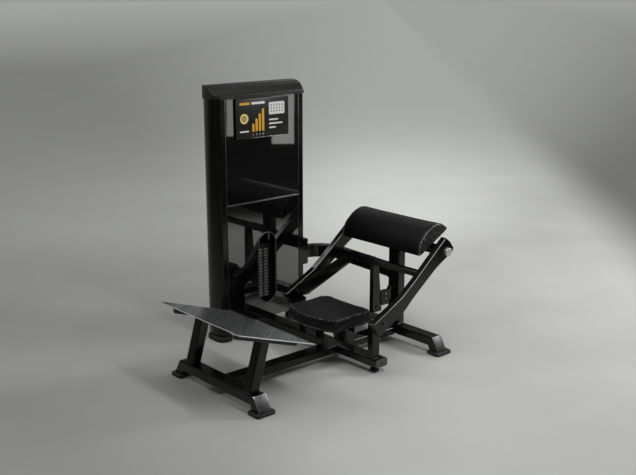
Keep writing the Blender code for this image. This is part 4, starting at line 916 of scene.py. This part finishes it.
BOARD_BACK, BOARD_FRONT = FACE_X + 0.0110, FACE_X + 0.0150
BOARD_LEFT, BOARD_RIGHT = SEAT_LINE - 0.192, SEAT_LINE + 0.250
BOARD_LOW, BOARD_HIGH = 1.365, 1.628
BOARD_WIDTH, BOARD_HEIGHT = BOARD_RIGHT - BOARD_LEFT, BOARD_HIGH - BOARD_LOW
STUD_INSET, STUD_RADIUS = 0.03, 0.007
INK = 0.0004
board = rounded_plate((BOARD_BACK, BOARD_LEFT, BOARD_LOW), (BOARD_FRONT, BOARD_RIGHT, BOARD_HIGH),
                      corner=0.008, edge=0.0010)
dress(board, "placard_board", BOARD, FRAME_BODY)
studs = []
for y in (BOARD_LEFT + STUD_INSET, BOARD_RIGHT - STUD_INSET):
    for z in (BOARD_LOW + STUD_INSET, BOARD_HIGH - STUD_INSET):
        stud = rod(STUD_RADIUS, (FACE_X, y, z), (BOARD_BACK, y, z), 16)
        studs.append(ease_edges(stud, 0.0008, 1))
dress(join(studs), "placard_studs", ZINC, FRAME_BODY)
# A bright metal rod along the placard's lower edge, a painted highlight
edge_line = [Vector((BOARD_FRONT, y, BOARD_LOW + 0.0008)) for y in (SEAT_LINE - 0.06, BOARD_RIGHT - 0.05)]
dress(rod(0.0011, *edge_line, sides=8), "placard_edge_glint", BRIGHT_EDGE_AND_GLINT, FRAME_BODY)


def on_board(across, up, x=BOARD_FRONT):
    """A place on the placard, in shares of its width and height."""
    return Vector((x, BOARD_LEFT + across * BOARD_WIDTH, BOARD_LOW + up * BOARD_HEIGHT))


def print_shape(left, right, foot, top, corner):
    """An inked shape on the placard, its corner counted in shares of its shorter side."""
    low = on_board(left, foot, BOARD_FRONT - 0.0001)
    high = on_board(right, top, BOARD_FRONT + INK)
    return rounded_plate(low, high, min(high.z - low.z, high.y - low.y) * corner)


def print_ring(across, up, bore, radius, lift=0.0):
    ring = washer(bore, radius, INK)
    ring.data.transform(Matrix.Translation(on_board(across, up, BOARD_FRONT + lift)))
    return ring


# Pills for headings and lines, steps that rise, a target and a field of dots: a design of its own
PILL = 0.45
STEPS_LEFT, STEP_PITCH, STEP_WIDTH, STEPS_FOOT = 0.30, 0.062, 0.043, 0.16
STEP_HEIGHTS = (0.20, 0.32, 0.44, 0.56)
STEP_LEFTS = [STEPS_LEFT + i * STEP_PITCH for i in range(len(STEP_HEIGHTS))]
STEP_NUMBER_MIDDLE, STEP_NUMBER_HEIGHT = 0.085, 0.019
amber = [print_shape(0.07, 0.26, 0.84, 0.90, PILL)]
for left, height in zip(STEP_LEFTS, STEP_HEIGHTS):
    amber.append(print_shape(left, left + STEP_WIDTH, STEPS_FOOT, STEPS_FOOT + height, 0.2))
dress(join(amber), "placard_amber_print", AMBER, FRAME_BODY)
gold = [print_ring(0.155, 0.50, bore, radius) for bore, radius in ((0.019, 0.034), (0.006, 0.012))]
dress(join(gold), "placard_gold_print", PALE_AMBER, FRAME_BODY)
white = [print_shape(*spans, corner) for spans, corner in (
    ((0.29, 0.54, 0.84, 0.90), PILL), ((0.62, 0.92, 0.55, 0.86), 0.10),
    ((0.07, 0.24, 0.16, 0.20), PILL), ((0.62, 0.80, 0.40, 0.44), PILL),
    ((0.62, 0.88, 0.30, 0.34), PILL), ((0.62, 0.75, 0.20, 0.24), PILL))]
dress(join(white), "placard_white_print", WHITE, FRAME_BODY)
dots = [print_ring(0.665 + column * 0.0525, 0.63 + row * 0.075, 0.0030, 0.0062, lift=0.0002)
        for row in range(3) for column in range(5)]
dress(join(dots), "placard_grey_print", BOARD, FRAME_BODY)
steps = [number(str(i + 1), STEP_NUMBER_HEIGHT, on_board(
    left + STEP_WIDTH / 2, STEP_NUMBER_MIDDLE, BOARD_FRONT + 0.0003)) for i, left in enumerate(STEP_LEFTS)]
dress(join(steps), "placard_step_numbers", WHITE, FRAME_BODY)


# Bolts, caps and welds


def drilled(obj, cutter):
    """Cuts the second shape out of the first."""
    tool = obj.modifiers.new("cut", "BOOLEAN")
    tool.operation = "DIFFERENCE"
    tool.solver = "EXACT"
    tool.object = cutter
    apply_modifiers(obj)
    bpy.data.objects.remove(cutter)
    return obj


SEATED = -0.0004
WASHER_RADIUS, WASHER_TOP = 0.0125, 0.0018
HEAD_RADIUS, HEAD_TOP = 0.0098, 0.0085
SCREW_RADIUS, SCREW_TOP, SCREW_DOME = 0.0070, 0.0034, 0.0026
SOCKET_RADIUS, SOCKET_FLOOR = 0.0030, 0.0012


def hex_bolt():
    """A washer with a hexagon head over it, seated at z = 0 and looking to +Z."""
    seat_ring = ease_edges(rod(WASHER_RADIUS, (0, 0, SEATED), (0, 0, WASHER_TOP), 28), 0.0005, 1)
    head = rod(HEAD_RADIUS, (0, 0, WASHER_TOP - 0.0001), (0, 0, HEAD_TOP), 6)
    edit_faces(head, looks_up, bpy.ops.mesh.bevel, offset=0.0011, segments=2, affect="EDGES")
    return join([smooth(seat_ring), smooth(head, 30)])


def button_screw():
    """A low domed head with a hexagon socket, seated at z = 0 and looking to +Z."""
    head = rod(SCREW_RADIUS, (0, 0, SEATED), (0, 0, SCREW_TOP), 28)
    edit_faces(head, looks_up, bpy.ops.mesh.bevel, offset=SCREW_DOME, segments=4, affect="EDGES")
    socket = rod(SOCKET_RADIUS, (0, 0, SOCKET_FLOOR), (0, 0, SCREW_TOP + SCREW_DOME), 6)
    return smooth(drilled(head, socket))


def fix(name, master, places, heading, look, body):
    """Copies of a fastener at places, its head looking along heading."""
    turn = Vector(heading).to_track_quat("Z", "Y").to_matrix().to_4x4()
    made = [copy_at(master, Matrix.Translation(place) @ turn) for place in places]
    return dress(join(made), name, look, body)


hexagon, button = hex_bolt(), button_screw()
for side, sign in SIDES:
    fix(f"peg_bolt_{side}", hexagon, [spot(0.438 * sign, 0.075, 0.336)], (sign, 0, 0), DARK_BOLT,
        ARM_BODY)
fix("lever_bolt", hexagon, [spot(0.013, 0.432, 0.262)], (1, 0, 0), DARK_BOLT, ARM_BODY)
fix("stop_bolts", button, [spot(0.020, 0.515, z) for z in (0.301, 0.338)], (1, 0, 0), ZINC,
    FRAME_BODY)
fix("tie_flange_bolts", hexagon, [spot(x, 0.432, z) for x in (-0.775, -0.705) for z in (0.432, 0.579)],
    (0, 1, 0), ZINC, FRAME_BODY)
rear_low, rear_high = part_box("rear_panel")
SCREW_INSET = 0.016
fix("rear_panel_screws", button, [Vector((rear_low.x, y, z)) for y in (
    rear_low.y + SCREW_INSET, rear_high.y - SCREW_INSET) for z in (0.13, 0.50, 0.87, 1.24, 1.60)],
    (-1, 0, 0), ZINC, FRAME_BODY)
fix("beam_cap_screw", button, [spot(0.4093, 0.091, 0.0665)], (1, 0, 0), DARK_BOLT, FRAME_BODY)
bpy.data.objects.remove(hexagon)
bpy.data.objects.remove(button)

CAP_RADIUS, CAP_EDGE = 0.0278, 0.0030
DISH_RADIUS, DISH_DEPTH = 0.0200, 0.0015
KEY_RADIUS, KEY_DEPTH = 0.0072, 0.006
CUTTER_REACH = 0.01


def on_axis(x):
    """A place on the arms' pivot axis."""
    return Vector((x, PIVOT.y, PIVOT.z))


def pivot_cap(near, far, sign):
    """A round cap with an eased rim, a shallow dish and a hexagon socket in its outer face."""
    head = rod(CAP_RADIUS, on_axis(near), on_axis(far), 48)
    edit_faces(head, lambda face: face.normal.x * sign > 0.9, bpy.ops.mesh.bevel, offset=CAP_EDGE,
               segments=3, affect="EDGES")
    outside = on_axis(far + sign * CUTTER_REACH)
    head = drilled(head, rod(KEY_RADIUS, on_axis(far - sign * KEY_DEPTH), outside, 6))
    return drilled(head, rod(DISH_RADIUS, on_axis(far - sign * DISH_DEPTH), outside, 48))


for side, sign in SIDES:
    low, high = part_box(f"shaft_cap_{side}")
    near, far = (low.x, high.x) if sign > 0 else (high.x, low.x)
    cap = pivot_cap(near, far, sign)
    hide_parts(f"shaft_cap_{side}")
    dress(smooth(outward(cap)), f"pivot_cap_{side}", CAP_FACE, ARM_BODY)

WELD_STEP, WELD_RIPPLE = 0.0030, 0.80
FRAME_WELD, ARM_WELD = 0.0030, 0.0026


def weld_bead(corners, radius, closed=True):
    """A rippled bead along corners, round a joint or open."""
    return tube("bead", resampled(corners, WELD_STEP, closed), radius, cyclic=closed, roundness=1,
                ripple=WELD_RIPPLE)


def on_floor_plane(x_low, x_high, y_low, y_high, z):
    return [spot(x_low, y_low, z), spot(x_high, y_low, z), spot(x_high, y_high, z), spot(x_low, y_high, z)]


def across_x(x, y_low, y_high, z_low, z_high):
    return [spot(x, y_low, z_low), spot(x, y_high, z_low), spot(x, y_high, z_high), spot(x, y_low, z_high)]


def across_y(y, x_low, x_high, z_low, z_high):
    return [spot(x_low, y, z_low), spot(x_high, y, z_low), spot(x_high, y, z_high), spot(x_low, y, z_high)]


frame_welds = [weld_bead(corners, FRAME_WELD) for corners in (
    on_floor_plane(-0.308, -0.242, -0.882, -0.814, 0.109),
    on_floor_plane(0.270, 0.336, -0.882, -0.814, 0.109),
    on_floor_plane(-0.374, -0.326, 0.046, 0.104, 0.093),
    on_floor_plane(0.326, 0.374, 0.046, 0.104, 0.093),
    on_floor_plane(-0.049, 0.049, 0.601, 0.660, 0.109),
    on_floor_plane(-0.224, -0.176, 0.101, 0.134, 0.093),
    across_y(-0.794, -0.047, 0.047, 0.042, 0.091),
    across_y(0.572, -0.047, 0.047, 0.042, 0.091),
    across_x(0.049, 0.043, 0.139, 0.042, 0.091),
    across_x(-0.049, 0.043, 0.139, 0.042, 0.091),
    across_y(0.4335, -0.759, -0.711, 0.447, 0.540),
    across_x(-0.051, 0.598, 0.647, 0.422, 0.516),
    across_y(0.599, -0.012, 0.012, 0.352, 0.424),
)]
for bracket_x in (0.1665, 0.1975):
    ends = [spot(bracket_x, y, 0.093) for y in (0.045, 0.061)]
    frame_welds.append(weld_bead(ends, FRAME_WELD, closed=False))
arm_welds = [weld_bead(corners, ARM_WELD) for corners in (
    across_x(0.3925, 0.403, 0.449, 0.557, 0.593),
    across_x(0.0135, 0.403, 0.449, 0.557, 0.593),
    [spot(-0.3925, y, z) for y, z in ((0.145, 0.308), (0.191, 0.308), (0.115, 0.384), (0.069, 0.384))],
    [spot(-0.2350, y, z) for y, z in ((0.387, 0.520), (0.433, 0.520), (0.449, 0.597), (0.403, 0.597))],
)]
dress(join(frame_welds), "frame_weld_beads", PAINT, FRAME_BODY)
dress(join(arm_welds), "arm_weld_beads", PAINT, ARM_BODY)

# Bright lines painted along the arms' upper outer edges as their highlight: the edges from the free end to
# the pivot, and where they lie across the machine
ARM_UPPER_EDGE = ((-0.006, 0.3448), (0.110, 0.4028), (0.2266, 0.4632), (0.2458, 0.4750),
                  (0.3434, 0.5491), (0.3542, 0.5576), (0.480, 0.6632), (0.615, 0.7755))
ARM_EDGE_X = (0.4358, -0.3952)
HIGHLIGHT_RADIUS = 0.0021
highlight_lines = [tube("painted highlight", [spot(x, y, z) for y, z in ARM_UPPER_EDGE], HIGHLIGHT_RADIUS)
          for x in ARM_EDGE_X]
dress(join(highlight_lines), "arm_painted_highlights", PAINTED_HIGHLIGHT, ARM_BODY)


# Lift cable


cable_low, cable_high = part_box("lift_cable")
CABLE_X, CABLE_Y = (cable_low.x + cable_high.x) / 2, (cable_low.y + cable_high.y) / 2
STRANDS, STRAND_TURNS, STRAND_POINTS = 3, 20, 240
LAY_RADIUS, STRAND_RADIUS = 0.00135, 0.0016


def lift_cable():
    """Strands laid round each other between the stem and the pulley."""
    strands = []
    for k in range(STRANDS):
        points = []
        for i in range(STRAND_POINTS + 1):
            share = i / STRAND_POINTS
            angle = 2 * math.pi * (share * STRAND_TURNS + k / STRANDS)
            points.append(Vector((CABLE_X + LAY_RADIUS * math.cos(angle),
                                  CABLE_Y + LAY_RADIUS * math.sin(angle),
                                  cable_low.z + (cable_high.z - cable_low.z) * share)))
        strands.append(tube("strand", points, STRAND_RADIUS, roundness=1))
    return join(strands)


cable = lift_cable()
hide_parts("lift_cable")
dress(cable, "lift_cable_strands", STEEL, FRAME_BODY)
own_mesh(cable)


# Eased edges on plain solids


TRIANGLE_GAP = 0.00002
EASED_EDGES = (
    (0.0030, ("tower_column_front", "tower_column_rear", "drive_lever", "main_beam", "mid_beam_left",
              "mid_beam_right", "front_foot_beam", "rear_foot_beam", "front_leg_left",
              "front_leg_right", "upright")),
    (0.0025, ("tower_cap", "crossbar", "arm_brace")),
    (0.0020, ("seat_board", "back_board", "tie_flange", "arm_left", "arm_right")),
    (0.0015, ("stop_bracket", "head_plate", "mid_beam_cap")),
    (0.0012, ("side_post_left", "side_post_right", "pulley_bracket", "tower_base")),
    (0.0007, ("upper_panel", "lower_panel", "rear_panel")),
)
for width, names in EASED_EDGES:
    for name in names:
        merged = nodes[name].modifiers.new("merged", "WELD")
        merged.merge_threshold = TRIANGLE_GAP
        eased = nodes[name].modifiers.new("eased edges", "BEVEL")
        eased.width = width
        eased.segments = 3
        eased.limit_method = "ANGLE"
        eased.angle_limit = math.radians(40)


# End plates of the floor beams

PLATE_TOP_Z, PLATE_FOOT_Z = 0.1065, 0.0235
PLATE_THICKNESS, PLATE_EDGE = 0.0022, 0.0010


def end_plate(x_top, x_foot, y_low, y_high):
    """A thin plate on a beam's slanted end, eased all round."""
    top, foot = Vector((x_top, 0, PLATE_TOP_Z)), Vector((x_foot, 0, PLATE_FOOT_Z))
    run = foot - top
    half_width = (y_high - y_low) / 2
    slab = block((0, -half_width, 0), (run.length, half_width, PLATE_THICKNESS))
    ease_edges(slab, PLATE_EDGE)
    heading = run.normalized()
    out = Vector((-heading.z, 0, heading.x)) * (1 if x_foot > x_top else -1)
    turn = Matrix((heading, out.cross(heading), out)).transposed().to_4x4()
    place = spot(x_top, (y_low + y_high) / 2, PLATE_TOP_Z)
    slab.data.transform(Matrix.Translation(place) @ turn)
    return outward(slab)


def bright_rim(obj, look):
    """A second finish on the narrow faces round a plate."""
    obj.data.materials.append(look)
    for face in obj.data.polygons:
        if face.area < 0.001:
            face.material_index = 1


front_plates = [end_plate(0.369 * sign, 0.4200 * sign, -0.8835, -0.7965) for _, sign in SIDES]
bright_rim(dress(join(front_plates), "front_beam_end_plates", END_PLATE, FRAME_BODY), BRIGHT_EDGE_AND_GLINT)
rear_plates = [end_plate(0.386 * sign, 0.4330 * sign, 0.5745, 0.6595) for _, sign in SIDES]
dress(join(rear_plates), "rear_beam_end_plates", END_PLATE, FRAME_BODY)


# Floor, light, camera


def area_light(name, place, facing, size, energy, colour=(1, 1, 1)):
    lamp = bpy.data.lights.new(name, "AREA")
    lamp.shape = "RECTANGLE"
    lamp.size, lamp.size_y = size
    lamp.energy = energy
    lamp.color = colour
    obj = bpy.data.objects.new(name, lamp)
    bpy.context.scene.collection.objects.link(obj)
    obj.location = place
    obj.rotation_euler = (facing - place).to_track_quat("-Z", "Y").to_euler()
    return obj


def mirrored_or_seen(finish):
    """1 where the camera, a mirror or clear glass looks, 0 for light that falls on things."""
    path = finish.node("ShaderNodeLightPath")
    either = finish.combine("MAXIMUM", path.outputs["Is Camera Ray"], path.outputs["Is Glossy Ray"])
    return finish.combine("MAXIMUM", either, path.outputs["Is Transmission Ray"])


BACK_OF_ROOM, RIGHT_REAR = (-0.75, 0.66, 0), (0.70, 0.71, 0)
GLOW = 0.33
FLOOR_SIZE = 400
WORLD_LIGHT, WORLD_SEEN = 0.09, 0.40


def pale_floor():
    """Pale polished floor that goes over into the pale back of the room, with painted shade that makes it
    darker to one side.
    """
    finish = Finish("pale studio floor", (0.55, 0.555, 0.53), 0.35, IOR=1.4)
    centred = finish.centred(spot(0, 0, 0))
    behind = finish.along(centred, BACK_OF_ROOM)
    aside = finish.along(centred, RIGHT_REAR)
    flat = finish.node("ShaderNodeVectorMath", {0: centred, 1: (1, 1, 0)}, operation="MULTIPLY").outputs[0]
    reach = finish.node("ShaderNodeVectorMath", {0: flat}, operation="LENGTH").outputs["Value"]

    # Colour and polish, with painted shade: duller at the left and black far out at the right rear, where
    # the panel looks
    mottle = finish.noise(0.6, detail=4.0)
    pale = finish.colours(mottle, ((0.3, (0.50, 0.505, 0.48)), (0.7, (0.58, 0.585, 0.56))))
    shade = finish.gently(aside, 2.3, 3.3, 1.0, 0.03)
    painted_left_shade = finish.gently(aside, -1.6, 0.9, 0.73, 1.0)
    finish.paint(finish.blend(finish.product(shade, painted_left_shade), (0, 0, 0, 1), pale))
    finish.polish(finish.between(finish.noise(1.8, detail=4.0), 0.3, 0.7, 0.28, 0.44))

    # The glow behind the machine falls off to both sides, but not at the skyline
    slope = finish.combine("DIVIDE", aside, behind)
    left_fall = finish.gently(slope, -0.40, 0.05, 0.50, 1.0)
    right_fall = finish.gently(slope, 0.10, 0.55, 1.0, 0.46)
    nearness = finish.combine("DIVIDE", 1.0, reach)
    skyline = finish.between(nearness, 0.075, 0.004, 0.0, 1.0)
    falls = finish.combine("MAXIMUM", finish.product(left_fall, right_fall), skyline)
    glow = finish.product(finish.gently(behind, 0.4, 4.2), falls)
    mirrored = finish.product(glow, mirrored_or_seen(finish))

    # Elsewhere only the camera sees it glow, away from the machine
    around = finish.gently(reach, 1.9, 4.6)
    elsewhere = finish.gently(behind, 0.4, -1.2)
    camera_ray = finish.node("ShaderNodeLightPath").outputs["Is Camera Ray"]
    looked_at = finish.product(finish.product(around, elsewhere), camera_ray)
    seen = finish.combine("MAXIMUM", mirrored, looked_at)
    finish.shader.inputs["Emission Color"].default_value = (0.98, 1.0, 0.95, 1)
    finish.tree.links.new(finish.product(seen, GLOW), finish.shader.inputs["Emission Strength"])
    return finish.material


deselect()
bpy.ops.mesh.primitive_plane_add(size=FLOOR_SIZE, location=(0, 0, -0.0005))
floor = apply_place(bpy.context.object)
floor.name = "studio_floor"
floor.data.materials.append(pale_floor())

world = bpy.data.worlds.new("studio air")
bpy.context.scene.world = world
world.use_nodes = True
sky = world.node_tree.nodes["Background"]
sky.inputs["Color"].default_value = (0.80, 0.82, 0.78, 1)
path = world.node_tree.nodes.new("ShaderNodeLightPath")
level = world.node_tree.nodes.new("ShaderNodeMapRange")
level.inputs["To Min"].default_value = WORLD_LIGHT
level.inputs["To Max"].default_value = WORLD_SEEN
world.node_tree.links.new(path.outputs["Is Camera Ray"], level.inputs["Value"])
world.node_tree.links.new(level.outputs["Result"], sky.inputs["Strength"])

for name, place, facing, size, energy in (
    ("overhead", (0.1, -0.2, 4.0), (-0.1, 0.0, 0.3), (2.6, 2.6), 34),
    ("rim light", (2.3, -0.3, 3.5), (0.4, 0.3, 0.4), (0.40, 1.8), 46),
    ("window", (2.0, 3.6, 2.6), (0.5, 2.5, 0.0), (1.2, 1.4), 95),
    ("fill", (3.0, -4.8, 3.2), (0.3, -1.4, 0), (2.4, 2.4), 11),
    ("edge light", (-2.4, -2.0, 3.2), (0.1, 0.2, 0.3), (1.4, 1.6), 44),
    ("background", (-3.4, 4.6, 4.0), (-3.6, 5.2, 0), (4.0, 4.0), 90),
):
    area_light(name, spot(*place), spot(*facing), size, energy)

# Two bright openings that only the tower's panels mirror
for name, place, facing, size, energy in (
    ("near blind", (2.19, 1.93, 1.06), (-0.69, -0.19, 1.51), (0.16, 0.38), 0.17),
    ("far blind", (2.08, 2.47, 1.01), (-0.69, 0.21, 1.47), (0.24, 0.52), 0.42),
):
    blind = area_light(name, spot(*place), spot(*facing), size, energy, (1.0, 0.99, 0.92))
    blind.visible_camera = False

camera = bpy.data.cameras.new("photograph view")
camera.lens = 54.61
camera.sensor_width = 36
viewer = bpy.data.objects.new("photograph view", camera)
bpy.context.scene.collection.objects.link(viewer)
viewer.location = spot(4.366, -3.910, 2.3)
viewer.rotation_euler = Vector((-0.7283, 0.6394, -0.2467)).to_track_quat("-Z", "Y").to_euler()
bpy.context.scene.camera = viewer
bpy.context.scene.view_settings.view_transform = "Standard"
bpy.context.view_layer.update()
